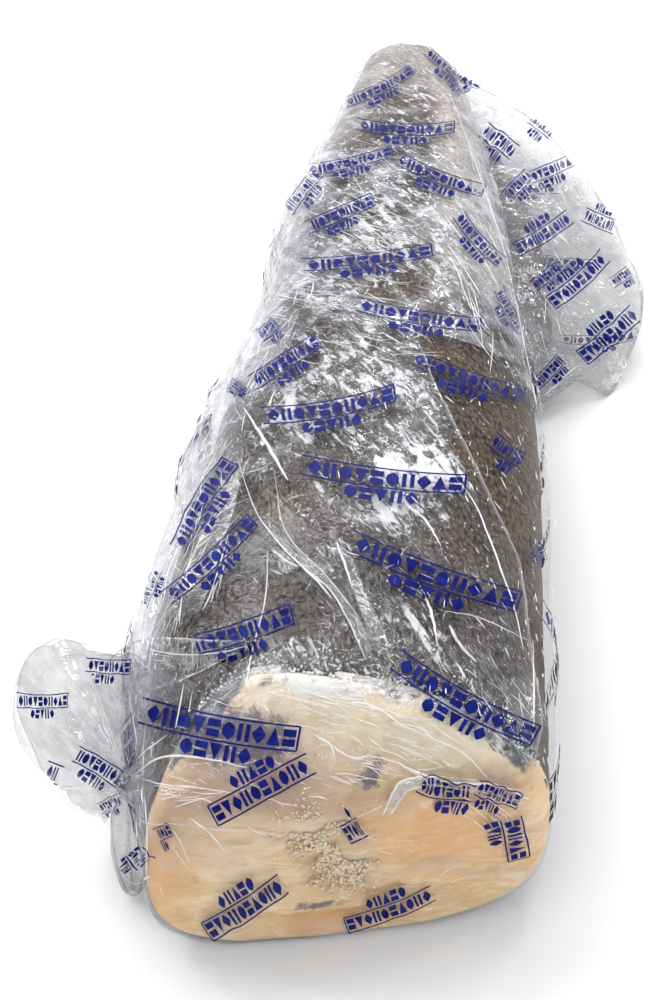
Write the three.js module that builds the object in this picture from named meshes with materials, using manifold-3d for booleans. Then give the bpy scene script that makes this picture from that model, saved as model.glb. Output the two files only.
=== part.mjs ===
// A frozen hake trunk, headed and gutted, tightly wrapped in clear film with two loose film ends.
// Millimetres, +Z up. The trunk lies on its belly along Y: the cut end faces -Y, the tail is at +Y.
// The wrapped fish and its film are one closed body, drawn out to the film's outer face.

import * as THREE from 'three';
import { mergeVertices } from 'three/addons/utils/BufferGeometryUtils.js';
import Module from 'manifold-3d';

const wasm = await Module();
wasm.setup();

// ---- driving dimensions ----

const LENGTH = 624;          // cut end to the blunt tail
const WIDTH = 128;           // across the fish just behind the cut
const HEIGHT = 97;           // floor to back, a hand's width behind the cut
const TAIL_ROUND = 46;       // length of the rounded tail end
const SETTLE = 1.6;          // depth of belly pressed flat on the surface it froze on

const WIDTH_TAPER = 0.58;    // share of the width lost at the tail
const WIDTH_POWER = 2.3;     // how late that loss comes
const HEIGHT_TAPER = 0.52;
const HEIGHT_POWER = 1.7;
const MID_HEIGHT = 0.42;     // height of the widest level, as a share of the section
const AXIS_OFFSET = 2;       // sideways place of the axis at the cut
const AXIS_BOW = 6.6;        // how far the frozen trunk bows to +X halfway along

const SIDE_POWER = 2.5;      // superellipse powers of the section: flanks, back and belly
const BACK_POWER = 2.25;
const BELLY_POWER = 3.4;

const NAPE_DROP = 10;        // the back falls this much towards the cut
const NAPE_REACH = 38;
const CUT_SKEW = 0.2;        // the cut runs obliquely: further back on the +X side
const CUT_TOE = -9;          // place of the cut at the belly
const CUT_LEAN = 0.1;
const BEVEL_DEPTH = 18;      // the nape is bevelled back by this much
const BEVEL_SKEW = -0.12;
const BEVEL_LOW = 58;        // the bevel lies between these two heights
const BEVEL_HIGH = 88;
const CUT_BLEND = 85;        // the oblique cut stops shaping the sections this far back
const RIM_ROUND = 7;         // radius of the cut's rim under the film

const LEFT_GATHER = 15;      // the film draws in at the left of the cut
const LEFT_GATHER_REACH = 34;

// Slow swellings of film and flank: side -1 is left, +1 is right.
const SWELLINGS = [
  { side: -1, at: 62, reach: 60, out: 8 },
  { side: -1, at: 168, reach: 52, out: 9 },
  { side: -1, at: 375, reach: 85, out: 7 },
  { side: 1, at: 10, reach: 75, out: 5 },
  { side: 1, at: 165, reach: 75, out: 5 },
];

// Broad film folds that cross the back, from a place near the tail to one near the cut.
// around is the angle round the section: 0 at the right flank, 90 on the back, 180 at the left.
const FOLDS = [
  { from: { along: 150, around: 140 }, to: { along: 20, around: 72 }, rise: 2.2, half: 6 },
  { from: { along: 118, around: 98 }, to: { along: 18, around: 76 }, rise: 1.6, half: 5 },
  { from: { along: 130, around: 150 }, to: { along: 48, around: 146 }, rise: 1.8, half: 5 },
  { from: { along: 275, around: 80 }, to: { along: 105, around: 45 }, rise: 1.4, half: 6 },
  { from: { along: 330, around: 150 }, to: { along: 215, around: 118 }, rise: 1.8, half: 7 },
  { from: { along: 420, around: 150 }, to: { along: 300, around: 100 }, rise: 1.5, half: 7 },
  { from: { along: 520, around: 40 }, to: { along: 300, around: 20 }, rise: 1.5, half: 6 },
];

const SPINE = { x: 5, z: 38 };          // the backbone in the cut face
const CRUMBS = { count: 16, spread: 11, rise: 1.8, radius: 3 };
const SLIT = { x: 0, z: 11, half: 22, width: 3, depth: 1.4 };
const FACE_SWELL = 2.5;

const AROUND = 60;           // points round a section
const ALONG = 40;            // sections from the rim to the tail

// The loose film end at the rear right: a puffed wing between the flank and a wavy outer edge.
const REAR_EDGE = [
  [30, 584, 38], [47, 577, 32], [79, 556, 23], [109, 507, 13], [128, 437, 9],
  [134, 368, 11], [124, 313, 14], [112, 291, 2.5], [98, 284, 15], [77, 266, 6],
];
const REAR_ROOT = { start: 590, end: 262, inset: 0.72 };
const REAR_PUFF = 15;
const REAR_FLOOR = 1.2;      // the puffed end's underside lies just above the floor
const REAR_FOLDS = { count: 7, depth: 2.2 };

// The gathered film end at the front left: a fan of folds spread from a neck beside the cut.
const NECK = { x: -56, y: 15, z: 43 };
const FAN_EDGE = [
  [15, -34], [27, -19], [29, -5], [38, 18], [29, 38], [9, 39], [-8, 36], [-20, 33],
];
const FAN_LEAN_BACK = 0.42;
const FAN_THICK = 6;
const FAN_FOLDS = { count: 5, uneven: 3, depth: 2.4 };

const KNOT = { x: 7, y: 8, z: 10 };     // half sizes of the twisted neck
const TUFT = { top: [-56, 13, 42], foot: [-58.5, 3, 0.8], half: 7, flat: 0.55 };

const EDGE_THICK = 1.4;      // thickness of a film end at its free edge

// ---- small helpers ----

const clamp = THREE.MathUtils.clamp;
const lerp = THREE.MathUtils.lerp;
const smooth = THREE.MathUtils.smoothstep;
const radians = THREE.MathUtils.degToRad;
const signedPower = (v, p) => Math.sign(v) * Math.abs(v) ** p;
const bell = (v, at, reach) => Math.exp(-(((v - at) / reach) ** 2));

function seededRandom(seed) {
  let state = seed;
  return () => {
    state = (state * 1664525 + 1013904223) % 4294967296;
    return state / 4294967296;
  };
}

// ---- the trunk ----

const taper = (along, share, power) => 1 - share * clamp(along / LENGTH, 0, 1) ** power;
const halfWidth = (along) => 0.5 * WIDTH * taper(along, WIDTH_TAPER, WIDTH_POWER);

function backHeight(along) {
  const nape = NAPE_DROP * Math.exp(-((along / NAPE_REACH) ** 1.5));
  return HEIGHT * taper(along, HEIGHT_TAPER, HEIGHT_POWER) - nape;
}

function axisX(along) {
  const share = clamp(along / LENGTH, 0, 1);
  return AXIS_OFFSET + 4 * AXIS_BOW * share * (1 - share);
}

function tailRound(along) {
  const share = clamp((along - LENGTH + TAIL_ROUND) / TAIL_ROUND, 0, 1);
  return Math.sqrt(Math.max(1 - share ** 2.4, 0));
}

function swelling(along, side) {
  let out = 0;
  for (const s of SWELLINGS) {
    if (s.side === side) out += s.out * bell(along, s.at, s.reach);
  }
  if (side < 0) out -= LEFT_GATHER * bell(along, 0, LEFT_GATHER_REACH);
  return out;
}

function foldRise(along, angle) {
  let rise = 0;
  for (const f of FOLDS) {
    const share = (along - f.to.along) / (f.from.along - f.to.along);
    if (share < 0 || share > 1) continue;
    const crest = radians(lerp(f.to.around, f.from.around, share));
    const off = (angle - crest) * halfWidth(along);
    rise += f.rise * Math.sin(Math.PI * share) ** 0.6 * bell(off, 0, f.half);
  }
  return rise;
}

// One point of the section at a distance along the trunk, at an angle round it.
function sectionPoint(along, angle) {
  const c = Math.cos(angle);
  const s = Math.sin(angle);
  const round = tailRound(along);
  const height = backHeight(along);
  const mid = MID_HEIGHT * height;
  const rise = foldRise(along, angle);
  const flank = signedPower(c, 2 / SIDE_POWER);
  let x = halfWidth(along) * round * flank;
  x += Math.max(c, 0) * swelling(along, 1) - Math.max(-c, 0) * swelling(along, -1);
  const up = (height - mid) * round * signedPower(Math.max(s, 0), 2 / BACK_POWER);
  const down = mid * round * signedPower(Math.min(s, 0), 2 / BELLY_POWER);
  const z = mid + up + down + rise * Math.max(s, 0);
  return { x: x + axisX(along) + rise * c, z: Math.max(z - SETTLE, 0) };
}

// Where the oblique, bevelled cut lies at a point of the section.
function cutPlace(x, z) {
  const bevel = smooth(z, BEVEL_LOW, BEVEL_HIGH);
  const low = CUT_TOE + CUT_SKEW * x + CUT_LEAN * z;
  const high = BEVEL_DEPTH + BEVEL_SKEW * x;
  return lerp(low, high, bevel);
}

function trunkRing(along) {
  const ring = [];
  const cutShare = 1 - smooth(along, 0, CUT_BLEND);
  for (let i = 0; i < AROUND; i++) {
    const p = sectionPoint(along, (2 * Math.PI * i) / AROUND);
    ring.push(new THREE.Vector3(p.x, along + RIM_ROUND + cutShare * cutPlace(p.x, p.z), p.z));
  }
  return ring;
}

const random = seededRandom(7);
const crumbs = Array.from({ length: CRUMBS.count }, () => {
  const turn = 2 * Math.PI * random();
  const reach = CRUMBS.spread * Math.sqrt(random());
  return { x: SPINE.x + reach * Math.cos(turn), z: SPINE.z + reach * Math.sin(turn), size: random() };
});

function faceRelief(x, z) {
  let out = FACE_SWELL * bell(Math.hypot(x - SPINE.x, z - SPINE.z), 0, 40);
  for (const crumb of crumbs) {
    out += CRUMBS.rise * crumb.size * bell(Math.hypot(x - crumb.x, z - crumb.z), 0, CRUMBS.radius);
  }
  const slitEnd = clamp((Math.abs(x - SLIT.x) - SLIT.half) / 6, 0, 1);
  return out - SLIT.depth * (1 - slitEnd) * bell(z, SLIT.z, SLIT.width);
}

// Rings of the cut face, from the backbone out to the rim that the trunk's first section shares.
function faceRings() {
  const shares = [0.05, 0.1, 0.155, 0.22, 0.32, 0.44, 0.57, 0.7, 0.81, 0.89, 0.94, 0.975, 0.995];
  const roundFrom = 0.87;
  return shares.map((share) => {
    const inset = clamp((share - roundFrom) / (1 - roundFrom), 0, 1);
    const round = RIM_ROUND * (1 - Math.sqrt(1 - inset ** 2));
    const ring = [];
    for (let i = 0; i < AROUND; i++) {
      const p = sectionPoint(0, (2 * Math.PI * i) / AROUND);
      const x = lerp(SPINE.x, p.x, share);
      const z = lerp(SPINE.z, p.z, share);
      ring.push(new THREE.Vector3(x, cutPlace(x, z) + round - faceRelief(x, z), z));
    }
    return ring;
  });
}

// A closed skin over rings of equally many points, with a point at each end.
function closedLoft(rings, first, last) {
  const count = rings[0].length;
  const points = [first, ...rings.flat(), last];
  const at = (ring, i) => 1 + ring * count + (i % count);
  const end = points.length - 1;
  const index = [];
  for (let i = 0; i < count; i++) {
    index.push(0, at(0, i), at(0, i + 1));
    index.push(end, at(rings.length - 1, i + 1), at(rings.length - 1, i));
    for (let r = 0; r + 1 < rings.length; r++) {
      index.push(at(r, i), at(r + 1, i), at(r + 1, i + 1));
      index.push(at(r, i), at(r + 1, i + 1), at(r, i + 1));
    }
  }
  return { points, index };
}

function trunk() {
  const rings = faceRings();
  const straight = LENGTH - RIM_ROUND - TAIL_ROUND;
  for (let k = 0; k < ALONG; k++) {
    rings.push(trunkRing(straight * (k / (ALONG - 1)) ** 1.25));
  }
  const tailSteps = 7;
  for (let k = 1; k < tailSteps; k++) {
    const share = Math.sin((Math.PI / 2) * (k / tailSteps));
    rings.push(trunkRing(straight + TAIL_ROUND * share));
  }
  const tailEnd = straight + TAIL_ROUND;
  const faceY = cutPlace(SPINE.x, SPINE.z) - faceRelief(SPINE.x, SPINE.z);
  const first = new THREE.Vector3(SPINE.x, faceY, SPINE.z);
  const last = new THREE.Vector3(axisX(tailEnd), tailEnd + RIM_ROUND, MID_HEIGHT * backHeight(tailEnd));
  return closedLoft(rings, first, last);
}

// ---- the loose film ends ----

// A thin wavy body between two grids of points, both split into triangles alike.
function leaf(columns, rows, middle, normalAt, thicknessAt) {
  const points = [];
  for (const side of [1, -1]) {
    for (let r = 0; r <= rows; r++) {
      for (let c = 0; c <= columns; c++) {
        const u = c / columns;
        const v = r / rows;
        const step = normalAt(u, v).multiplyScalar(side * 0.5 * thicknessAt(u, v));
        const point = middle(u, v).add(step);
        point.z = Math.max(point.z, side > 0 ? 1.6 : 0.2);
        points.push(point);
      }
    }
  }
  const sheet = (columns + 1) * (rows + 1);
  const at = (side, c, r) => side * sheet + r * (columns + 1) + c;
  const index = [];
  for (let r = 0; r < rows; r++) {
    for (let c = 0; c < columns; c++) {
      index.push(at(0, c, r), at(0, c + 1, r), at(0, c + 1, r + 1));
      index.push(at(0, c, r), at(0, c + 1, r + 1), at(0, c, r + 1));
      index.push(at(1, c, r), at(1, c + 1, r + 1), at(1, c + 1, r));
      index.push(at(1, c, r), at(1, c, r + 1), at(1, c + 1, r + 1));
    }
  }
  const wall = (a, b) => {
    index.push(at(0, ...a), at(1, ...b), at(0, ...b));
    index.push(at(0, ...a), at(1, ...a), at(1, ...b));
  };
  for (let c = 0; c < columns; c++) {
    wall([c, 0], [c + 1, 0]);
    wall([c + 1, rows], [c, rows]);
  }
  for (let r = 0; r < rows; r++) {
    wall([0, r + 1], [0, r]);
    wall([columns, r], [columns, r + 1]);
  }
  return { points, index };
}

const curveThrough = (points) => new THREE.CatmullRomCurve3(points, false, 'centripetal');

function rearFlap() {
  const edge = curveThrough(REAR_EDGE.map((p) => new THREE.Vector3(...p)));
  const topAndBottom = (u, v) => {
    const along = lerp(REAR_ROOT.start, REAR_ROOT.end, u);
    const x = axisX(along) + REAR_ROOT.inset * halfWidth(along);
    const rim = edge.getPoint(u);
    const point = new THREE.Vector3(x, along, MID_HEIGHT * backHeight(along)).lerp(rim, v);
    const middleShare = Math.sin(Math.PI * u);
    const fold = REAR_FOLDS.depth * v * Math.sin(2 * Math.PI * REAR_FOLDS.count * u + 3 * v);
    const top = point.z + REAR_PUFF * Math.sin(Math.PI * v) * middleShare ** 0.7 + fold * middleShare;
    const low = lerp(REAR_FLOOR, rim.z - EDGE_THICK, v ** 4);
    const bottom = lerp(top - EDGE_THICK, Math.min(low, top - EDGE_THICK), middleShare ** 0.35);
    return { point, top, bottom };
  };
  const middle = (u, v) => {
    const { point, top, bottom } = topAndBottom(u, v);
    return point.setZ(0.5 * (top + bottom));
  };
  const thickness = (u, v) => {
    const { top, bottom } = topAndBottom(u, v);
    return top - bottom;
  };
  const up = () => new THREE.Vector3(0, 0, 1);
  return leaf(30, 11, middle, up, thickness);
}

function frontFan() {
  const edge = curveThrough(FAN_EDGE.map(([out, up]) => new THREE.Vector3(out, up, 0)));
  const neck = new THREE.Vector3(NECK.x, NECK.y, NECK.z);
  const middle = (u, v) => {
    const rim = edge.getPoint(u);
    const spread = lerp(0.1, 1, v);
    const turn = 2 * Math.PI * (FAN_FOLDS.count * u + 0.3 * Math.sin(FAN_FOLDS.uneven * Math.PI * u));
    const fold = FAN_FOLDS.depth * v * (Math.sin(turn) + 0.5 * Math.sin(2.7 * turn));
    const out = spread * rim.x;
    const up = spread * rim.y;
    const back = FAN_LEAN_BACK * Math.max(up, 0) + 0.2 * Math.max(-up, 0) + 0.1 * out;
    return neck.clone().add(new THREE.Vector3(-out, back + fold, up));
  };
  const forward = () => new THREE.Vector3(0, -0.92, 0.39);
  const thickness = (u, v) => EDGE_THICK + FAN_THICK * (1 - v);
  return leaf(30, 8, middle, forward, thickness);
}

// The twisted neck that joins the fan and the tuft to the wrapped trunk.
function knot() {
  const geometry = new THREE.SphereGeometry(1, 16, 10);
  geometry.scale(KNOT.x, KNOT.y, KNOT.z);
  geometry.translate(NECK.x + 3, NECK.y, NECK.z);
  return geometry;
}

// A short flattened finger of film that hangs from the neck to the floor.
function tuft() {
  const steps = 9;
  const sides = 12;
  const top = new THREE.Vector3(...TUFT.top);
  const foot = new THREE.Vector3(...TUFT.foot);
  const rings = [];
  for (let k = 1; k < steps; k++) {
    const share = k / steps;
    const half = TUFT.half * Math.sqrt(Math.sin(Math.PI * (0.12 + 0.88 * share)));
    const centre = top.clone().lerp(foot, share);
    const ring = [];
    for (let i = 0; i < sides; i++) {
      const turn = (2 * Math.PI * i) / sides;
      const step = new THREE.Vector3(half * Math.cos(turn), half * TUFT.flat * Math.sin(turn), 0);
      ring.push(centre.clone().add(step));
    }
    rings.push(ring);
  }
  return closedLoft(rings, top, foot);
}

// ---- joining ----

function toGeometry({ points, index }) {
  const geometry = new THREE.BufferGeometry();
  geometry.setFromPoints(points);
  geometry.setIndex(index);
  return geometry;
}

function toSolid(geometry) {
  const bare = geometry.clone();
  bare.deleteAttribute('normal');
  bare.deleteAttribute('uv');
  const merged = mergeVertices(bare, 1e-4);
  const vertProperties = new Float32Array(merged.attributes.position.array);
  const triVerts = new Uint32Array(merged.index.array);
  return new wasm.Manifold(new wasm.Mesh({ numProp: 3, vertProperties, triVerts }));
}

function toMesh(solid, name, material) {
  const { vertProperties, triVerts } = solid.getMesh();
  const geometry = new THREE.BufferGeometry();
  geometry.setAttribute('position', new THREE.BufferAttribute(vertProperties, 3));
  geometry.setIndex(new THREE.BufferAttribute(triVerts, 1));
  const mesh = new THREE.Mesh(geometry, material);
  mesh.name = name;
  return mesh;
}

const film = new THREE.MeshStandardMaterial({ color: 0x9a948b, roughness: 0.28, metalness: 0 });

let wrapped = toSolid(toGeometry(trunk()));
for (const part of [toGeometry(rearFlap()), toGeometry(frontFan()), knot(), toGeometry(tuft())]) {
  wrapped = wrapped.add(toSolid(part));
}

const hake = new THREE.Group();
const body = toMesh(wrapped, 'film_wrapped_hake', film);
hake.add(body);

// The origin is the middle of the box round the part, on the surface it lies on.
const box = new THREE.Box3().setFromObject(hake);
body.position.set(-0.5 * (box.min.x + box.max.x), -0.5 * (box.min.y + box.max.y), -box.min.z);

export default hake;
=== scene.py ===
import math

import bpy
import numpy as np
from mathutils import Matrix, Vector
from mathutils.bvhtree import BVHTree


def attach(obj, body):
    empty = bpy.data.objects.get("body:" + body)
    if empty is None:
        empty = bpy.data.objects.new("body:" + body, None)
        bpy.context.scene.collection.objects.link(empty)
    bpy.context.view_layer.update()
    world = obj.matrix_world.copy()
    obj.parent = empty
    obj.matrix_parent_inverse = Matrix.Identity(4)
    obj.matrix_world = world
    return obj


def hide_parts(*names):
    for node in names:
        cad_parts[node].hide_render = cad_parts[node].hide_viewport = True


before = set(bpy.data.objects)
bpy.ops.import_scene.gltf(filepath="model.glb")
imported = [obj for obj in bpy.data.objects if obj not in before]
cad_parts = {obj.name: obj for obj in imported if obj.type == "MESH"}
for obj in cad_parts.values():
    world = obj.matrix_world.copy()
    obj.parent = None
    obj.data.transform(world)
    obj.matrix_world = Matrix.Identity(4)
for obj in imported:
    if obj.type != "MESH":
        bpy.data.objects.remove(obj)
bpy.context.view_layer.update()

# A frozen hake trunk on its belly under clear printed film, with two loose film ends.
# Shapes are worked out in millimetres, from the cut end at y 0 to the tail, and then moved to the frame.

NODE = "film_wrapped_hake"
BODY = "root"
MM = 0.001
SHIFT = np.array([-20.091, -304.027, 0.0])

# The photograph's camera in the same millimetres. Marks, creases and painted glints are set where its pixels fall on
# the film.
VIEW_PLACE = np.array([26.0, -240.0, 374.0])
VIEW_PITCH = 40.0
VIEW_YAW = 4.8
VIEW_FOCAL = 1350.0
VIEW_MIDDLE = (333.0, 500.0)
PHOTO_HEIGHT = 1000

# ---- the trunk ----

LENGTH = 624.0
WIDTH = 128.0
HEIGHT = 97.0
TAIL_ROUND = 46.0
TAIL_END = 617.0
SETTLE = 1.6
MID_HEIGHT = 0.42
RIM_ROUND = 7.0
SPINE_X = 5.0
SPINE_Z = 38.0
FACE_REACH = 100.0

SWELLINGS = [(-1, 62, 60, 8), (-1, 168, 52, 9), (-1, 375, 85, 7), (1, 10, 75, 5), (1, 165, 75, 5)]
FOLDS = [
    (150, 140, 20, 72, 2.2, 6), (118, 98, 18, 76, 1.6, 5), (130, 150, 48, 146, 1.8, 5),
    (275, 80, 105, 45, 1.4, 6), (330, 150, 215, 118, 1.8, 7), (420, 150, 300, 100, 1.5, 7),
    (520, 40, 300, 20, 1.5, 6),
]


def smooth(v, low, high):
    t = np.clip((v - low) / (high - low), 0, 1)
    return t * t * (3 - 2 * t)


def bell(v, at, reach):
    return np.exp(-((v - at) / reach) ** 2)


def bump2(a, g, at, reach):
    """A round patch on the wrapped surface, by distance along and round it."""
    return np.exp(-((a - at[0]) / reach[0]) ** 2 - ((g - at[1]) / reach[1]) ** 2)


def signed_power(v, p):
    return np.sign(v) * np.abs(v) ** p


def taper(along, share, power):
    return 1 - share * np.clip(along / LENGTH, 0, 1) ** power


def half_width(along):
    return 0.5 * WIDTH * taper(along, 0.58, 2.3)


def back_height(along):
    return HEIGHT * taper(along, 0.52, 1.7) - 10 * np.exp(-(np.maximum(along, 0) / 38) ** 1.5)


def axis_x(along):
    s = np.clip(along / LENGTH, 0, 1)
    return 2 + 4 * 6.6 * s * (1 - s)


def swelling(along, side, left_share):
    out = np.zeros_like(along)
    for s, at, reach, size in SWELLINGS:
        if s == side:
            out = out + size * bell(along, at, reach) * (left_share if side < 0 else 1)
    if side < 0:
        out = out - 15 * bell(along, 0, 34)
    return out


def fold_rise(along, angle):
    rise = np.zeros_like(along)
    for a1, r1, a0, r0, size, half in FOLDS:
        share = (along - a0) / (a1 - a0)
        inside = (share > 0) & (share < 1)
        crest = np.radians(r0 + (r1 - r0) * share)
        lift = np.sin(np.pi * np.clip(share, 0, 1)) ** 0.6
        rise = rise + np.where(inside, size * lift * bell((angle - crest) * half_width(along), 0, half), 0)
    return rise


def section(along, angle, film):
    """x and z of the section. film is 1 for the film's own shape and less for the fish inside it."""
    c, s = np.cos(angle), np.sin(angle)
    end = np.clip((along - LENGTH + TAIL_ROUND) / TAIL_ROUND, 0, 1)
    rounding = np.sqrt(np.maximum(1 - end ** 2.4, 0))
    height = back_height(along)
    mid = MID_HEIGHT * height
    rise = film * fold_rise(along, angle)
    x = half_width(along) * rounding * signed_power(c, 2 / 2.5)
    x = x + np.maximum(c, 0) * swelling(along, 1, film) - np.maximum(-c, 0) * swelling(along, -1, film)
    up = (height - mid) * rounding * signed_power(np.maximum(s, 0), 2 / 2.25)
    down = mid * rounding * signed_power(np.minimum(s, 0), 2 / 3.4)
    z = np.maximum(mid + up + down + rise * np.maximum(s, 0) - SETTLE, 0)
    return x + axis_x(along) + rise * c, z


def cut_place(x, z):
    bevel = smooth(z, 58, 88)
    return (1 - bevel) * (-9 + 0.2 * x + 0.1 * z) + bevel * (18 - 0.12 * x)


def face_relief(x, z):
    slit = 1.4 * (1 - np.clip((np.abs(x) - 22) / 6, 0, 1)) * bell(z, 11, 3)
    return 2.5 * bell(np.hypot(x - SPINE_X, z - SPINE_Z), 0, 40) - slit


def wrapped(s, angle, film=1.0):
    """A point of the wrapped surface. s is the distance along the trunk, or below 0 the way in over the cut face,
    where -FACE_REACH is the backbone."""
    s, angle = np.broadcast_arrays(np.asarray(s, float), np.asarray(angle, float))
    along = np.maximum(s, 0)
    x, z = section(along, angle, film)
    share = 1 + np.minimum(s, 0) / FACE_REACH
    x = SPINE_X + (x - SPINE_X) * share
    z = SPINE_Z + (z - SPINE_Z) * share
    inset = np.clip((share - 0.87) / 0.13, 0, 1)
    rim = RIM_ROUND * (1 - np.sqrt(1 - inset ** 2))
    face_y = cut_place(x, z) + rim - face_relief(x, z)
    trunk_y = along + RIM_ROUND + (1 - smooth(along, 0, 85)) * cut_place(x, z)
    return np.stack([x, np.where(s < 0, face_y, trunk_y), z], -1)


def wrapped_normal(s, angle, film=1.0):
    ds = wrapped(s + 0.6, angle, film) - wrapped(s - 0.6, angle, film)
    da = wrapped(s, angle + 0.012, film) - wrapped(s, angle - 0.012, film)
    n = np.cross(ds, da)
    return n / (np.linalg.norm(n, axis=-1, keepdims=True) + 1e-9)


# Distance round the section from the ridge of the back, positive towards +X, and its inverse.
TABLE_S = np.linspace(0, TAIL_END, 125)
TABLE_ANGLE = np.linspace(1.5 * np.pi, -0.5 * np.pi, 721)
_x, _z = section(TABLE_S[:, None] + 0 * TABLE_ANGLE, TABLE_ANGLE + 0 * TABLE_S[:, None], 1.0)
_step = np.hypot(np.diff(_x, axis=1), np.diff(_z, axis=1))
_arc = np.concatenate([np.zeros((len(TABLE_S), 1)), np.cumsum(_step, axis=1)], axis=1)
TABLE_GIRTH = _arc - _arc[:, 360:361]
GIRTHS = np.linspace(-230, 230, 461)
TABLE_INVERSE = np.array([np.interp(GIRTHS, row, TABLE_ANGLE) for row in TABLE_GIRTH])
GIRTH_BY_ANGLE = TABLE_GIRTH[:, ::-1]
ANGLES_UP = TABLE_ANGLE[::-1]


def look_up(table, columns, along, value):
    row = np.clip(along / TAIL_END, 0, 1) * (len(TABLE_S) - 1)
    col = np.clip((value - columns[0]) / (columns[-1] - columns[0]), 0, 1) * (len(columns) - 1)
    r, c = np.minimum(row.astype(int), len(TABLE_S) - 2), np.minimum(col.astype(int), len(columns) - 2)
    fr, fc = row - r, col - c
    upper = table[r, c] * (1 - fc) + table[r, c + 1] * fc
    lower = table[r + 1, c] * (1 - fc) + table[r + 1, c + 1] * fc
    return upper * (1 - fr) + lower * fr


def angle_of(along, girth):
    along, girth = np.broadcast_arrays(np.asarray(along, float), np.asarray(girth, float))
    return look_up(TABLE_INVERSE, GIRTHS, np.maximum(along, 0), girth)


def girth_of(along, angle):
    along, angle = np.broadcast_arrays(np.asarray(along, float), np.asarray(angle, float))
    turn = (angle + 0.5 * np.pi) % (2 * np.pi) - 0.5 * np.pi
    return look_up(GIRTH_BY_ANGLE, ANGLES_UP, np.maximum(along, 0), turn)


_ring = np.linspace(0, 2 * np.pi, 361)
_rx, _rz = section(0 * _ring, _ring, 1.0)
_turn = np.arctan2(_rz - SPINE_Z, _rx - SPINE_X)
_order = np.argsort(_turn)
RIM_TURN, RIM_ANGLE = _turn[_order], _ring[_order]
RIM_REACH = np.hypot(_rx - SPINE_X, _rz - SPINE_Z)[_order]


def on_face(x, z):
    """The place (s, angle) of a point of the cut face, seen from the front."""
    x, z = np.asarray(x, float), np.asarray(z, float)
    turn = np.arctan2(z - SPINE_Z, x - SPINE_X)
    reach = np.interp(turn, RIM_TURN, RIM_REACH, period=2 * np.pi)
    angle_x = np.interp(turn, RIM_TURN, np.cos(RIM_ANGLE), period=2 * np.pi)
    angle_y = np.interp(turn, RIM_TURN, np.sin(RIM_ANGLE), period=2 * np.pi)
    share = np.hypot(x - SPINE_X, z - SPINE_Z) / reach
    return FACE_REACH * (np.minimum(share, 1) - 1), np.arctan2(angle_y, angle_x)


# ---- seeded noise and the film's creases ----

CELLS = 64
TABLES = [np.random.default_rng(seed).random((CELLS, CELLS)) for seed in range(24)]


def noise(x, y, seed):
    table = TABLES[seed]
    xi, yi = np.floor(x).astype(int), np.floor(y).astype(int)
    fx, fy = x - xi, y - yi
    fx, fy = fx * fx * (3 - 2 * fx), fy * fy * (3 - 2 * fy)
    x0, x1, y0, y1 = xi % CELLS, (xi + 1) % CELLS, yi % CELLS, (yi + 1) % CELLS
    low = table[x0, y0] * (1 - fx) + table[x1, y0] * fx
    high = table[x0, y1] * (1 - fx) + table[x1, y1] * fx
    return low * (1 - fy) + high * fy


def streak(a, g, slope, length, width, seed):
    """Noise drawn out along a direction that goes slope round for each 1 along."""
    size = math.hypot(1, slope)
    p = (a + g * slope) / size
    q = (g - a * slope) / size
    q = q + 0.35 * width * (noise(p / (0.4 * length), q / (2 * width), (seed + 5) % 24) - 0.5)
    return noise(p / length + 31, q / width + 17, seed)


def ridge(n, power):
    return (1 - np.abs(2 * n - 1)) ** power


def wrinkle(a, g):
    """How far the film stands out over its smooth shape, in mm."""
    left = smooth(-g, 22, 58)
    w = 0.8 * (streak(a, g, -0.5, 90, 13, 1) - 0.5) + 0.5 * (streak(a, g, -0.7, 40, 5.5, 2) - 0.5)
    w = w + 0.7 * ridge(streak(a, g, -0.55, 70, 12, 3), 5)
    w = w + 0.5 * ridge(streak(a, g, 0.9, 60, 14, 4), 6)
    w = w + left * (2.0 * (streak(a, g, -0.12, 110, 21, 6) - 0.5) + 1.1 * ridge(streak(a, g, 0.25, 80, 18, 7), 4))
    w = w + left * 0.7 * ridge(streak(a, g, -0.6, 60, 13, 8), 5)
    w = w + 0.25 * (noise(a / 6 + 9, g / 5, 9) - 0.5)
    return w + 0.3


def film_point(s, angle, lift=0.0):
    s, angle = np.broadcast_arrays(np.asarray(s, float), np.asarray(angle, float))
    along = np.maximum(s, 0)
    g = girth_of(along, angle)
    calm = np.where(s < 0, 0.45, 0.45 + 0.55 * smooth(s, 0, 25))
    out = np.maximum(calm * wrinkle(s, g), -0.1 - 0.8 * smooth(s, 4, 30)) + lift
    p = wrapped(s, angle) + wrapped_normal(s, angle) * out[..., None]
    p[..., 2] = np.maximum(p[..., 2], 0.1)
    return p


# ---- meshes ----

def make(name, points, faces, material, attributes=None, uv=None):
    mesh = bpy.data.meshes.new(name)
    placed = (np.asarray(points, float).reshape(-1, 3) + SHIFT) * MM
    mesh.from_pydata(placed.tolist(), [], [list(map(int, f)) for f in faces])
    mesh.polygons.foreach_set("use_smooth", [True] * len(mesh.polygons))
    for key, values in (attributes or {}).items():
        layer = mesh.attributes.new(key, "FLOAT", "POINT")
        layer.data.foreach_set("value", np.asarray(values, np.float32).ravel())
    if uv is not None:
        corner = np.empty(len(mesh.loops), int)
        mesh.loops.foreach_get("vertex_index", corner)
        layer = mesh.uv_layers.new(name="surface")
        layer.data.foreach_set("uv", np.asarray(uv, np.float32).reshape(-1, 2)[corner].ravel())
    mesh.materials.append(material)
    mesh.update()
    thing = bpy.data.objects.new(name, mesh)
    bpy.context.scene.collection.objects.link(thing)
    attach(thing, BODY)
    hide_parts(NODE)


SURFACES = []


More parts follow.
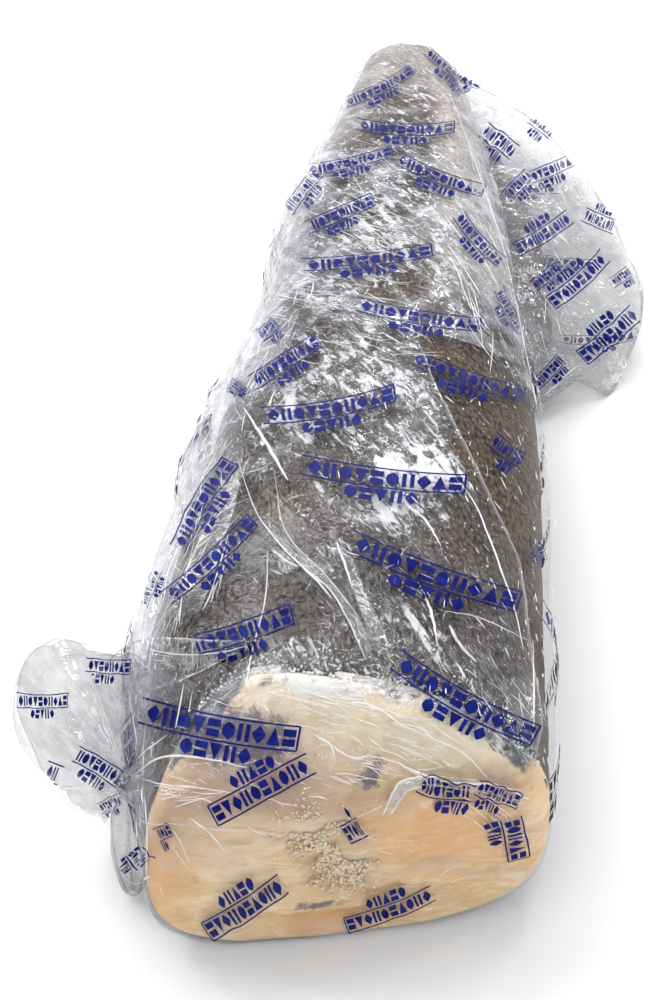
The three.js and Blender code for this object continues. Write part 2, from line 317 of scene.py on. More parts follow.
def grid_faces(rows, columns, closed=False, flip=False):
    r, c = np.meshgrid(np.arange(rows - 1), np.arange(columns if closed else columns - 1), indexing="ij")
    n = (c + 1) % columns
    quads = np.stack([r * columns + c, r * columns + n, (r + 1) * columns + n, (r + 1) * columns + c], -1)
    quads = quads.reshape(-1, 4)
    return quads[:, ::-1] if flip else quads


def table(rows, columns):
    """Every pairing of a row's value with a column's value, as two tables."""
    return np.meshgrid(rows, columns, indexing="ij")


def shares(rows, columns):
    """Tables of how far each point of a grid lies across (u) and down (v), from 0 to 1."""
    v, u = table(np.linspace(0, 1, rows), np.linspace(0, 1, columns))
    return u, v


def turns(count):
    return np.linspace(0, 2 * np.pi, count, endpoint=False)


def film_sheet(name, points, material, values, u, v, closed=False, flip=False, printed=True):
    """A sheet of film. values are its haze, crease and edge. Where printed, marks, creases and painted glints are laid
    on it.
    """
    rows, columns = points.shape[:2]
    faces = grid_faces(rows, columns, closed, flip)
    if printed:
        SURFACES.append((points.reshape(-1, 3), faces))
    values = {key: np.broadcast_to(value, (rows, columns)) for key, value in zip(("haze", "crease", "edge"), values)}
    make(name, points, faces, material, values, np.stack(np.broadcast_arrays(u, v), -1))


# ---- materials ----

def srgb(r, g, b):
    def lin(v):
        v = v / 255
        return v / 12.92 if v <= 0.04045 else ((v + 0.055) / 1.055) ** 2.4
    return (lin(r), lin(g), lin(b), 1.0)


class Wire:
    """A node's output, with which nodes are written as sums."""

    def __init__(self, shader, socket):
        self.shader, self.socket = shader, socket

    def __add__(self, other):
        return self.shader.math("ADD", self, other)

    def __sub__(self, other):
        return self.shader.math("SUBTRACT", self, other)

    def __rsub__(self, other):
        return self.shader.math("SUBTRACT", other, self)

    def __mul__(self, other):
        return self.shader.math("MULTIPLY", self, other)

    def __truediv__(self, other):
        return self.shader.math("DIVIDE", self, other)


class Shader:
    """A short way to write a material's nodes."""

    def __init__(self, name):
        self.material = bpy.data.materials.new(name)
        self.material.use_nodes = True
        self.tree = self.material.node_tree
        self.tree.nodes.clear()
        self.out = self.tree.nodes.new("ShaderNodeOutputMaterial")
        self.uv = self.wire("ShaderNodeUVMap", "UV", uv_map="surface")
        self.place = self.wire("ShaderNodeTexCoord", "Object")

    def add(self, kind, inputs=None, **props):
        node = self.tree.nodes.new(kind)
        for key, value in props.items():
            setattr(node, key, value)
        for key, value in (inputs or {}).items():
            if isinstance(value, Wire):
                self.tree.links.new(value.socket, node.inputs[key])
            else:
                node.inputs[key].default_value = value
        return node

    def wire(self, kind, output=0, inputs=None, **props):
        return Wire(self, self.add(kind, inputs, **props).outputs[output])

    def value(self, name):
        return self.wire("ShaderNodeAttribute", "Fac", attribute_name=name)

    def math(self, operation, a, b=0.0, c=0.0, clamp=False):
        return self.wire("ShaderNodeMath", 0, {0: a, 1: b, 2: c}, operation=operation, use_clamp=clamp)

    def vector(self, operation, a, b, output="Vector"):
        return self.wire("ShaderNodeVectorMath", output, {0: a, 1: b}, operation=operation)

    def spread(self, value, low, high, start=0.0, end=1.0):
        return self.wire("ShaderNodeMapRange", 0, {0: value, 1: low, 2: high, 3: start, 4: end}, clamp=True)

    def mix(self, share, a, b):
        return self.wire("ShaderNodeMix", 2, {0: share, 6: a, 7: b}, data_type="RGBA")

    def scaled(self, vector, along, turn=0.0, up=1.0):
        """The vector with its second part, and its third by up, drawn out and then turned, in radians."""
        return self.wire("ShaderNodeMapping", 0, {"Vector": vector, "Scale": (1, 1 / along, 1 / up),
                                                  "Rotation": (0, 0, turn)}, vector_type="TEXTURE")

    def noise(self, vector, scale, detail=3.0, rough=0.55, distortion=0.0, solid=False):
        values = {"Vector": vector, "Scale": scale, "Detail": detail, "Roughness": rough, "Distortion": distortion}
        space = "3D" if solid or vector is self.place else "2D"
        return self.wire("ShaderNodeTexNoise", 0, values, noise_dimensions=space)

    def cells(self, vector, scale, randomness=1.0):
        """A pattern of cells. Its outputs are had by their names."""
        node = self.add("ShaderNodeTexVoronoi", {"Vector": vector, "Scale": scale, "Randomness": randomness},
                        voronoi_dimensions="2D")
        return lambda output: Wire(self, node.outputs[output])

    def bump(self, height, distance, strength=1.0):
        return self.wire("ShaderNodeBump", 0, {"Height": height, "Distance": distance, "Strength": strength})

    def surface(self, inputs):
        return self.wire("ShaderNodeBsdfPrincipled", 0, inputs)

    def finish(self, shader):
        self.tree.links.new(shader.socket, self.out.inputs[0])
        return self.material


def skin_material():
    m = Shader("hake_skin")
    flat = m.scaled(m.uv, 0.55, 0.35)
    near = m.spread(m.cells(flat, 0.5, 0.75)("Distance"), 0.15, 0.75)
    grain = m.noise(flat, 0.9, 4, 0.65)
    tone = grain * m.spread(near, 0, 1, 1.15, 0.6)
    lit = m.spread(tone, 0.28, 0.62)
    dark = m.mix(lit, srgb(7, 7, 8), srgb(80, 75, 72))
    brown = m.mix(lit, srgb(20, 15, 10), srgb(112, 90, 66))
    blotch = m.noise(m.uv, 0.06, 4, 0.6, 0.4)
    colour = m.mix(m.value("brown") * m.spread(blotch, 0.3, 0.6, 0.5, 1.0), dark, brown)
    spots = m.spread(m.noise(m.uv, 0.35, 4, 0.65), 0.52, 0.6)
    pale = m.mix(m.spread(grain, 0.3, 0.7), srgb(200, 184, 174), srgb(240, 230, 222))
    pale = m.mix(spots * 0.8, pale, srgb(122, 98, 74))
    colour = m.mix(m.value("pale"), colour, pale)
    crust = m.noise(m.scaled(m.uv, 1, 0.9), 0.34, 5, 0.68, 0.8) * 0.28
    crust = crust + m.noise(m.scaled(m.uv, 0.34, 0.6), 0.3, 4, 0.62, 0.9) * 0.44
    crust = crust + m.noise(m.uv, 0.07, 3, 0.6, 0.5) * 0.28
    crust = crust + (m.noise(m.scaled(m.uv, 0.16, 0.45), 0.22, 4, 0.6) - 0.5) * 0.22
    level = m.spread(m.value("frost"), 0, 1, 0.755, 0.35)
    frost = m.math("MULTIPLY", crust - level, 17.0, clamp=True)
    film_of_ice = m.math("MULTIPLY", crust - (level - 0.07), 9.0, clamp=True)
    colour = m.mix(film_of_ice * 0.42, colour, srgb(150, 150, 154))
    colour = m.mix(frost, colour, srgb(234, 234, 238))
    height = tone * 0.5 + frost * 0.8
    return m.finish(m.surface({"Base Color": colour, "Roughness": m.spread(frost, 0, 1, 0.4, 0.8),
                               "Specular IOR Level": 0.12, "Normal": m.bump(height, 0.0011, 0.9)}))


def flesh_material():
    m = Shader("cut_flesh")
    broad = m.noise(m.place, 28, 3, 0.55, 0.3)
    fine = m.noise(m.place, 190, 4, 0.6)
    fibre = m.noise(m.scaled(m.place, 1.0, 0.3, 2.6), 75, 4, 0.65, 1.2, solid=True)

    def ragged(name, scale, detail, rough, distortion, size):
        """A value of the mesh with a torn outline."""
        return m.value(name) + (m.noise(m.place, scale, detail, rough, distortion) - 0.5) * size

    colour = m.mix(m.spread(broad, 0.35, 0.65), srgb(216, 186, 142), srgb(236, 210, 166))
    colour = m.mix(m.spread(fibre, 0.5, 0.66, 0, 0.75), colour, srgb(246, 232, 200))
    colour = m.mix(m.spread(fibre, 0.48, 0.32, 0, 0.65), colour, srgb(196, 152, 108))
    colour = m.mix(m.value("tan") * m.spread(broad, 0.2, 0.7, 0.6, 1), colour, srgb(222, 166, 106))
    colour = m.mix(m.value("nape") * m.spread(fine, 0.3, 0.6, 0.4, 1), colour, srgb(244, 232, 204))
    colour = m.mix(m.value("dull") * m.spread(broad, 0.3, 0.6, 0.55, 1), colour, srgb(180, 148, 124))
    stain = m.spread(ragged("stain", 150, 5, 0.75, 0.6, 2.0), 0.42, 0.74, 0, 0.85)
    colour = m.mix(stain, colour, m.mix(fine, srgb(60, 50, 52), srgb(104, 98, 130)))
    torn = m.spread(ragged("skin", 160, 5, 0.7, 0.0, 1.2), 0.42, 0.6)
    colour = m.mix(torn, colour, m.mix(m.spread(fine, 0.35, 0.62), srgb(24, 23, 26), srgb(120, 122, 132)))
    frost = m.spread(ragged("frost", 260, 5, 0.7, 0.0, 1.6), 0.5, 0.72)
    colour = m.mix(frost, colour, srgb(224, 220, 214))
    height = fine * 0.5 + frost * 0.6
    return m.finish(m.surface({"Base Color": colour, "Roughness": 0.38, "Normal": m.bump(height, 0.0012, 0.6)}))


def film_material(name, tint, coarse, drawn, shine, body):
    """Clear film. It is glossy everywhere; haze, creases and stress marks make it whiter and less clear. The haze value
    also carries painted light in places.
    """
    m = Shader(name)
    flat = m.scaled(m.uv, drawn, 0.5)
    facet = m.cells(flat, coarse)
    offset = m.vector("SUBTRACT", flat, facet("Position"))
    lean = m.vector("SUBTRACT", facet("Color"), (0.5, 0.5, 0.5))
    slope = m.vector("DOT_PRODUCT", offset, lean, "Value")
    cloud = m.noise(m.uv, 0.11, 3, 0.6, 0.3)
    fibres = m.noise(m.scaled(m.uv, 0.22, 0.55), 0.13, 3, 0.6, 0.6)
    thin = 1.0 - m.math("ABSOLUTE", m.math("MULTIPLY_ADD", fibres, 2.0, -1.0))
    thin = m.spread(thin, 0.95, 1.0) * m.spread(cloud, 0.48, 0.62)
    haze = m.value("haze") * m.spread(cloud, 0.25, 0.75, 0.65, 1.35)
    marks = thin * 0.14 * m.value("crease")
    white = m.math("ADD", haze + marks, m.value("edge"), clamp=True)
    share = m.math("MULTIPLY_ADD", m.spread(m.value("crease"), 0.2, 0.7, 0.45, 1), body, white, clamp=True)
    colour = m.mix(white / share, (0.02, 0.02, 0.022, 1), tint)
    height = m.math("MULTIPLY_ADD", slope, 0.34, m.noise(m.uv, 0.16, 2, 0.55, 0.5) * 1.1)
    height = m.math("MULTIPLY_ADD", thin, 0.22, height)
    gloss = m.surface({"Base Color": colour, "Roughness": 0.09, "IOR": shine, "Normal": m.bump(height, 0.001)})
    clear = m.wire("ShaderNodeBsdfTransparent")
    return m.finish(m.wire("ShaderNodeMixShader", 0, {0: share, 1: clear, 2: gloss}))


def mottled(name, scale, detail, low, high, a, b, bumpy=False, **gloss):
    """A plain material between two colours. gloss gives the surface's other values, with _ for a space."""
    m = Shader(name)
    worn = m.noise(m.place, scale, detail, 0.6)
    inputs = {"Base Color": m.mix(m.spread(worn, low, high), srgb(*a), srgb(*b))}
    inputs.update({key.replace("_", " "): value for key, value in gloss.items()})
    if bumpy:
        inputs["Normal"] = m.bump(worn, 0.0006, 0.7)
    return m.finish(m.surface(inputs))


SKIN = skin_material()
FLESH = flesh_material()
FILM = film_material("clear_film", srgb(206, 206, 215), 0.085, 0.4, 3.4, 0.042)
LOOSE = film_material("loose_film", srgb(150, 150, 158), 0.07, 0.7, 2.6, 0.04)
INK = mottled("film_ink", 300, 4, 0.4, 0.75, (5, 14, 90), (16, 36, 130), Roughness=0.4, Specular_IOR_Level=0.08)
# Film bent so sharply that it has turned white, and painted glints: white slivers laid where the film's crinkles would
# catch the light.
GLINT_AND_CREASE = mottled("film_glint_and_crease", 240, 3, 0.35, 0.65, (226, 226, 228), (252, 252, 252),
                 Roughness=0.2, IOR=1.8, Alpha=0.72)
CRUMB = mottled("crumbs", 500, 3, 0.35, 0.65, (232, 206, 166), (250, 234, 204), bumpy=True, Roughness=0.45)
FROST = mottled("frost", 500, 3, 0.35, 0.65, (205, 206, 212), (240, 240, 244), bumpy=True, Roughness=0.45)

# ---- the fish ----

FISH_INSET = 1.7


def fish_point(s, angle, inset=FISH_INSET):
    s = np.asarray(s, float)
    fill = 0.95 - 0.6 * smooth(s, 8, 90)
    near = 0.3 + 0.7 * smooth(s, 4, 40)
    p = wrapped(s, angle, fill)
    return p - wrapped_normal(s, angle, fill) * (near * np.asarray(inset, float))[..., None]


def wedge(a, g):
    """The bare dark band of skin on the right, in front of the frost."""
    edge = np.interp(a, [0, 20, 35, 63, 97, 133, 160, 189], [70, 66, 65, 60, 45, 31, 22, 12])
    top = 204 - 0.25 * (g - 12)
    return smooth(g, edge - 3, edge + 4) * (1 - smooth(a, top - 9, top + 6))


def patches(value, a, g, rows):
    """Adds round patches: each row is the place and the reach, along and round, and the size."""
    for along, girth, reach_along, reach_round, size in rows:
        value = value + size * bump2(a, g, (along, girth), (reach_along, reach_round))
    return value


FROST_PATCHES = [
    (129, 23, 30, 20, 0.14), (165, 4, 26, 26, 0.16), (146, -31, 22, 14, 0.2), (94, 18, 28, 20, 0.34),
    (35, 22, 18, 12, 0.42), (57, -5, 10, 6, 0.3), (9, -10, 6, 14, 0.34), (20, 34, 14, 12, 0.16),
    (231, -28, 20, 12, 0.16), (190, -20, 30, 20, 0.1), (287, -18, 40, 20, 0.1), (282, 24, 36, 16, 0.2),
    (350, -10, 40, 22, 0.1),
    (84, -27, 16, 12, -0.26), (55, -32, 18, 12, -0.3), (29, -14, 12, 16, -0.26), (6, -32, 7, 9, -0.34),
    (6, 18, 7, 10, -0.3), (2, -50, 18, 12, -0.4), (87, 41, 12, 7, -0.4), (222, 14, 18, 18, -0.26),
    (30, 44, 16, 10, -0.1),
]
BROWN_PATCHES = [(118, 26, 22, 14, 0.6), (86, -24, 14, 10, 0.5), (236, 8, 22, 24, 0.5), (70, 40, 30, 12, 0.5),
                 (446, -4, 60, 20, 0.5)]


def frost_at(a, g):
    f = patches(0.26 + 0.22 * smooth(a, 50, 115) + 0.08 * smooth(a, 210, 260), a, g, FROST_PATCHES)
    right = smooth(g, 66, 84)
    return np.clip(f * (1 - wedge(a, g)) * (1 - 0.6 * right) + 0.1 * wedge(a, g), 0, 1)


def brown_at(a, g):
    return np.clip(patches(0.3 + 0.7 * wedge(a, g) + 0.3 * smooth(a, 380, 460), a, g, BROWN_PATCHES), 0, 1)


def pale_at(a, g):
    flank = smooth(a, 225, 300) * smooth(g, 8, 30)
    tail = 0.6 * smooth(a, 380, 480) * (0.4 + 0.9 * noise(a / 16, g / 9, 18))
    return np.clip(flank + tail - 0.9 * bump2(a, g, (452, 2), (44, 16)), 0, 0.95)


def tail_cap(last, count, flatness, bulge):
    """Rings that close the tail, from the last ring of points."""
    middle = last.mean(0)
    rings = []
    for k in range(1, count + 1):
        ring = middle + (last - middle) * math.cos(0.5 * math.pi * k / flatness)
        ring[:, 1] = last[:, 1] + bulge * math.sin(0.5 * math.pi * k / count)
        rings.append(ring)
    return rings


TAIL_RINGS = 6


def fish():
    rows, around = 300, 220
    angle = turns(around)
    ss, aa = table(TAIL_END * np.linspace(0, 1, rows) ** 1.15, angle)
    p = fish_point(ss, aa)
    g = girth_of(ss, aa)
    relief = 0.7 * (noise(ss / 16, g / 13, 10) - 0.5) + 0.35 * (noise(ss / 5, g / 4, 11) - 0.5)
    crust = frost_at(ss, g) * ridge(noise(ss / 7 + 3, g / 5, 12), 2)
    p = p + wrapped_normal(ss, aa, 0.3) * (relief + 0.5 * crust - 0.3)[..., None]
    caps = tail_cap(p[-1], TAIL_RINGS, 6.2, 1.6)
    p[..., 2] = np.maximum(p[..., 2], 0.6)
    total = rows + TAIL_RINGS
    faces = grid_faces(total, around, closed=True).tolist()
    faces.append([(total - 1) * around + k for k in range(around)][::-1])
    ss = np.concatenate([ss, np.full((TAIL_RINGS, around), TAIL_END)])
    g = np.concatenate([g, np.repeat(g[-1:], TAIL_RINGS, 0)])
    values = {"frost": frost_at(ss, g), "brown": brown_at(ss, g), "pale": pale_at(ss, g)}
    make("hake_skin", np.concatenate([p.reshape(-1, 3), *caps]), faces, SKIN, values,
         np.stack([g, ss], -1))

    rows = 70
    ss, aa = table(102.5 * (np.arange(1, rows + 1) / rows) - FACE_REACH, angle)
    p = fish_point(ss, aa, FISH_INSET + 0.25)
    x, z = p[..., 0], p[..., 2]
    rough = 1.8 * (noise(x / 11 + 20, z / 7 + 20, 13) - 0.5) + 0.7 * (noise(x / 3.4 + 20, z / 2.6 + 20, 14) - 0.5)
    p[..., 1] += (rough + 0.7) * smooth(-ss, 2, 12)
    p[..., 2] = np.maximum(p[..., 2], 0.7)
    hub = fish_point(np.array([-FACE_REACH]), np.array([0.0]))
    faces = grid_faces(rows, around, closed=True).tolist()
    last = rows * around
    faces += [[last, (k + 1) % around, k] for k in range(around)]
    rim = smooth(ss, -16, 0)
    values = {
        "tan": patches(0, x, z, [(36, 46, 20, 14, 0.85), (-46, 30, 9, 26, 0.8), (2, 9, 15, 6, 0.75),
                                 (40, 26, 24, 14, 0.3)])
        + 0.3 * noise(x / 12 + 30, z / 9 + 30, 16),
        "nape": smooth(z, 60, 76) * smooth(x, -34, -18),
        "dull": np.clip(patches(0, x, z, [(-14, 68, 28, 12, 1.0), (-40, 52, 12, 16, 0.5), (16, 60, 14, 6, 0.3)]), 0, 1),
        "stain": patches(0, x, z, [(-22, 73.5, 17, 6, 1.1), (16, 67, 4, 5, 0.95), (3, 18.5, 9, 2.6, 0.95)]),
        "skin": 1.2 * smooth(-x, 34, 44) * smooth(z, 67, 73) + rim * smooth(-x, 18, 40) * smooth(z, 66, 76)
        + 0.36 * rim * smooth(x, 40, 62) * smooth(z, 40, 66) + 0.5 * smooth(ss, -6, 0) * smooth(z, 56, 70),
        "frost": smooth(ss, -9, 0) * smooth(z, 55, 74) * smooth(x, -30, 0) * 0.6
        + 0.35 * bump2(x, z, (-4, 84), (14, 5)),
    }
    values = {key: np.append(value, 0) for key, value in values.items()}
    make("hake_flesh", np.concatenate([p.reshape(-1, 3), hub]), faces, FLESH, values)


# ---- the film ----

# How hazy the film over the trunk is, with painted light in it: a lighter right flank and whiter wrinkle crests.
def haze_and_painted_light_at(a, g):
    left_from = np.interp(a, [0, 60, 120, 200, 330, 480, 617], [60, 52, 46, 38, 32, 28, 24])
    left = smooth(-g, left_from - 8, left_from + 14)
    # The third term whitens the film on the right flank towards the tail: partly hazier film, partly painted light for
    # the shade that side gets from the key light.
    h = 0.005 + 0.36 * left + 0.3 * smooth(a, 200, 280) * smooth(g, 22, 40)
    h = h + 0.2 * left * (streak(a, g, -0.1, 60, 9, 15) - 0.4)
    h = h + 0.06 * smooth(a, 330, 560)
    h = h + 0.12 * bump2(a, g, (12, 46), (30, 8))
    h = h + 0.06 * smooth(streak(a, g, -0.5, 70, 16, 10), 0.6, 0.85)
    # Whiter film along the wrinkle crests: partly the haze of film lying over itself, partly a painted highlight on the
    # crests.
    crest = 0.36 * ridge(streak(a, g, -0.55, 70, 12, 3), 8) + 0.32 * ridge(streak(a, g, 0.9, 60, 14, 4), 9)
    crest = crest * (0.15 + 0.85 * smooth(a, 90, 240) - 0.4 * smooth(a, 400, 470)) * (1 - 0.8 * wedge(a, g))
    h = h + crest + 0.05 * smooth(a, 430, 560)
    return np.maximum(h + 0.03 * smooth(g, 78, 96), 0.01)


def wrap_film():
    around = 300
    s = np.concatenate([np.linspace(-99, -14, 40, endpoint=False), np.linspace(-14, 0, 16, endpoint=False),
                        TAIL_END * np.linspace(0, 1, 260) ** 1.1])
    ss, aa = table(s, np.linspace(-0.5 * np.pi, 1.5 * np.pi, around))
    p = film_point(ss, aa)
    g = girth_of(np.maximum(ss, 0), aa)
    points = np.concatenate([p, np.array(tail_cap(p[-1], TAIL_RINGS, 6.1, 3.0))])
    ss = np.concatenate([ss, np.full((TAIL_RINGS, around), TAIL_END)])
    g = np.concatenate([g, np.repeat(g[-1:], TAIL_RINGS, 0)])
    face = smooth(-ss, 0, 6)
    x, z = points[..., 0], points[..., 2]
    # Whiter patches of film over the cut face: painted soft highlights of the film there, carried as haze.
    gloss = 0.005 + 0.12 * smooth(noise(x / 13 + 40, z / 8 + 40, 17), 0.55, 0.9)
    haze = haze_and_painted_light_at(np.maximum(ss, 0), g) * (1 - face) + gloss * face
    crease = 0.8 * (1 - face) + 0.25 * face
    film_sheet("film_wrap", points, FILM, (haze, crease, 0), np.where(ss < 0, x, g), np.where(ss < 0, z - 90, ss))


# The free edge of the second turn: how far round it lies at each distance along, and where it fades into the first.
LAYER_ALONG = [0, 19, 35, 63, 77, 92, 97, 133, 159, 189, 215, 260, 330]
LAYER_EDGE = [70, 67, 65, 61, 57, 50, 47, 31, 22, 14, 20, 30, 40]
LAYER_LEFT = -66
LAYER_FADE = (165, 195)


def outer_layer():
    """A second turn of film over the back, whose free edge runs down the right side."""
    ss, tt = table(np.linspace(2, 330, 220), np.linspace(0, 1, 120))
    edge = np.interp(ss, LAYER_ALONG, LAYER_EDGE) + 0.3 * np.sin(ss / 9.0)
    g = LAYER_LEFT + (edge - LAYER_LEFT) * tt
    free = 1 - smooth(ss, *LAYER_FADE)
    near = smooth(tt, 0.93, 1.0) * free
    lift = 0.9 + 0.5 * (streak(ss, g, -0.5, 50, 8, 16) - 0.5) + 0.9 * near
    lift = lift * smooth(tt, 0.0, 0.08) * smooth(ss, 2, 12)
    haze = 0.005 + 0.07 * smooth(noise(ss / 26, g / 15, 17), 0.6, 0.9) + 0.04 * near
    rim = 0.5 * smooth(tt, 0.985, 1.0) * free
    points = film_point(ss, angle_of(ss, g), lift)
    film_sheet("film_outer_layer", points, FILM, (haze, 0.45, rim), g + 400, ss, flip=True)


# The extra layer over the upper face: where it starts on the back and where its free edge hangs, as x and z.
FRONT_EDGE_X = [-57, -50, -45, -39, -30, -23, -14, -7, 5, 11, 20, 24, 29, 36, 45, 53, 60]
FRONT_EDGE_Z = [47, 54, 58, 60, 59, 58, 56, 54, 53, 58, 61, 65, 66, 65, 63, 61, 56]
FRONT_TOP_X = [-57, -40, -20, 20, 45, 60]
FRONT_TOP_Z = [60, 77, 86, 87, 80, 66]
FRONT_ON_BACK = 0.25
FRONT_REACH = 22


def front_layer():
    v, x = table(np.linspace(0, 1, 90), np.linspace(FRONT_EDGE_X[0], FRONT_EDGE_X[-1], 200))
    low, top = np.interp(x, FRONT_EDGE_X, FRONT_EDGE_Z), np.interp(x, FRONT_TOP_X, FRONT_TOP_Z)
    z = top + (low - top) * np.clip((v - FRONT_ON_BACK) / (1 - FRONT_ON_BACK), 0, 1)
    s, angle = on_face(x, z)
    back = np.clip(FRONT_ON_BACK - v, 0, FRONT_ON_BACK) / FRONT_ON_BACK
    s = np.where(back > 0, FRONT_REACH * back, s)
    out = 0.8 + 0.9 * smooth(v, 0.2, 0.6) + 1.0 * smooth(v, 0.85, 1.0)
    out = out + 1.1 * (streak(z, x, 1.6, 50, 7, 18) - 0.5) + 0.6 * ridge(streak(z, x, 2.6, 40, 6, 19), 4)
    haze = 0.01 + 0.08 * smooth(v, 0.25, 0.9) * noise(x / 15 + 8, v * 5, 20)
    haze = haze + 0.06 * bell(x, -55, 6)
    crease = 0.35 + 0.55 * bump2(x, v, (30, 0.75), (30, 0.3))
    rim = 0.6 * smooth(v, 0.982, 1.0)
    points = film_point(s, angle, out * smooth(v, 0, 0.1))
    film_sheet("film_front_layer", points, FILM, (haze, crease, rim), x, 60 * v + 800)


def catmull(points, u):
    """A centripetal curve through the points, at shares u of their count."""
    points = np.asarray(points, float)
    first, last = 2 * points[0] - points[1], 2 * points[-1] - points[-2]
    q = np.concatenate([[first], points, [last]])
    u = np.clip(np.asarray(u, float), 0, 1) * (len(points) - 1)
    k = np.minimum(u.astype(int), len(points) - 2)
    w = (u - k)[..., None]
    p0, p1, p2, p3 = q[k], q[k + 1], q[k + 2], q[k + 3]

    def gap(a, b):
        return np.maximum(np.linalg.norm(b - a, axis=-1, keepdims=True) ** 0.5, 1e-6)
    d0, d1, d2 = gap(p0, p1), gap(p1, p2), gap(p2, p3)
    m1 = ((p1 - p0) / d0 - (p2 - p0) / (d0 + d1) + (p2 - p1) / d1) * d1
    m2 = ((p2 - p1) / d1 - (p3 - p1) / (d1 + d2) + (p3 - p2) / d2) * d1
    c2, c3 = -3 * p1 + 3 * p2 - 2 * m1 - m2, 2 * p1 - 2 * p2 + m1 + m2
    return p1 + m1 * w + c2 * w ** 2 + c3 * w ** 3


REAR_EDGE = [
    (30, 584, 38), (47, 577, 32), (79, 556, 23), (109, 507, 13), (128, 437, 9),
    (134, 368, 11), (124, 313, 14), (112, 291, 2.5), (98, 284, 15), (77, 266, 6),
]


def rear_point(u, v, side, lift=0.0):
    """The puffed loose end. side is 1 for its upper sheet and -1 for the one by the floor."""
    u, v = np.broadcast_arrays(np.asarray(u, float), np.asarray(v, float))
    along = 590 + (262 - 590) * u
    root = np.stack([axis_x(along) + 0.72 * half_width(along), along, MID_HEIGHT * back_height(along)], -1)
    rim = catmull(REAR_EDGE, u)
    p = root + (rim - root) * v[..., None]
    middle = np.sin(np.pi * np.clip(u, 0, 1))
    fold = 2.2 * v * np.sin(2 * np.pi * 7 * u + 3 * v)
    top = p[..., 2] + 15 * np.sin(np.pi * np.clip(v, 0, 1)) * middle ** 0.7 + fold * middle
    low = 1.2 + (rim[..., 2] - 1.4 - 1.2) * v ** 4
    low = top - 1.4 + (np.minimum(low, top - 1.4) - top + 1.4) * middle ** 0.35
    crinkle = 1.6 * (noise(u * 26 + 3 * v, v * 5, 21) - 0.5) + 1.2 * ridge(noise(u * 18 - 4 * v, v * 3 + 7, 22), 4)
    crinkle = crinkle + 0.7 * (noise(u * 50, v * 16, 23) - 0.5)
    p[..., 2] = np.where(side > 0, top + crinkle * smooth(v, 0, 0.15) + lift, low + 0.5 * crinkle * v - lift)
    p[..., 2] = np.maximum(p[..., 2], 0.4)
    return p


def rear_end():
    u, v = shares(110, 260)
    haze = 0.15 + 0.12 * noise(u * 14, v * 4, 5) + 0.2 * bell(v, 0.3, 0.2) + 0.3 * smooth(u, 0.7, 0.94)
    crease = 0.4 + 0.5 * smooth(u, 0.6, 0.95) * v
    rim = 0.45 * smooth(v, 0.98, 1.0)
    for side, name in ((1, "film_rear_top"), (-1, "film_rear_under")):
        film_sheet(name, rear_point(u, v, side), LOOSE, (haze, crease, rim), 330 * u, 90 * v + 200 * (side > 0),
                   flip=side < 0)


def rear_mass():
    """The edge of the belly that shows brown through the loose end, beside the trunk."""
    rows, around = 120, 40
    t, turn = table(np.linspace(0, 1, rows), turns(around))
    along = 552 - 300 * t
    middle = axis_x(along) + 0.93 * half_width(along) + 1 + 7 * np.sin(np.pi * t)
    reach = (3 + 17 * np.sin(np.pi * np.clip(t * 1.02, 0, 1)) ** 0.8) * (1 + 0.1 * np.sin(9 * t))
    tall = 4 + 9 * np.sin(np.pi * t) ** 0.7
    lump = 1 + 0.5 * (noise(t * 11, turn * 1.3, 2) - 0.5) + 0.2 * (noise(t * 31, turn * 3, 3) - 0.5)
    p = np.stack([middle + reach * np.cos(turn) * lump, along, np.maximum(13 + tall * np.sin(turn) * lump, 2.0)], -1)
    faces = grid_faces(rows, around, closed=True).tolist()
    faces += [list(range(around))[::-1], [(rows - 1) * around + k for k in range(around)]]
    values = {"frost": 0.25 + 0.4 * noise(t * 8, turn, 5), "brown": 0 * turn + 1,
              "pale": 0.1 + 0.4 * noise(t * 6 + 5, turn, 6)}
    make("hake_belly_edge", p, faces, SKIN, values, np.stack([60 * turn / np.pi, along], -1))


NECK = np.array([-56.0, 15.0, 43.0])
FAN_EDGE = [(15, -34, 0), (27, -19, 0), (29, -5, 0), (38, 18, 0), (29, 38, 0), (9, 39, 0), (-8, 36, 0), (-20, 33, 0)]


def fan_point(u, v, layer):
    rim = catmull(FAN_EDGE, u)
    spread = 0.1 + 0.9 * v
    turn = 2 * np.pi * (5 * u + 0.3 * np.sin(3 * np.pi * u)) + 1.3 * layer
    fold = 1.5 * v * (np.sin(turn) + 0.5 * np.sin(2.7 * turn))
    shrink = 1 - 0.05 * layer * (0.5 + 0.5 * np.sin(9 * u))
    out, up = spread * rim[..., 0] * shrink, spread * rim[..., 1] * shrink
    back = 0.42 * np.maximum(up, 0) + 0.2 * np.maximum(-up, 0) + 0.1 * out
    soft = 0.9 * (noise(u * 12 + 5 * layer, v * 2.5, 3) - 0.5) + 0.9 * ridge(noise(u * 16 + 3, v * 2 + 7 * layer, 4), 4)
    thick = 1.4 + 6 * (1 - v)
    step = (0.5 * thick if layer == 0 else -0.5 * thick) + soft
    p = NECK + np.stack([-out, back + fold * (1 if layer == 0 else 0.7), up], -1)
    p = p + np.array([0, -0.92, 0.39]) * step[..., None]
    p[..., 2] = np.maximum(p[..., 2], 0.4)
    return p


def fan():
    u, v = shares(70, 180)
    for layer, name in ((0, "film_fan_front"), (1, "film_fan_back")):
        haze = 0.26 + 0.14 * noise(u * 9 + layer, v * 3, 6) + 0.1 * (1 - v) ** 2
        values = (haze, 0.3 + 0.3 * (1 - v), 0.4 * smooth(v, 0.985, 1.0))
        film_sheet(name, fan_point(u, v, layer), LOOSE, values, 90 * u, 45 * v + 300 * layer)


LENS_TOP = [(-66, 22, 80), (-60, 31, 83), (-53, 38, 82), (-44, 39, 82), (-33, 37, 84), (-21, 35, 87)]
LENS_LOW = [(-60, 18, 60), (-54, 23, 68), (-48, 25, 74), (-40, 25, 79), (-30, 29, 83), (-21, 34, 86.5)]


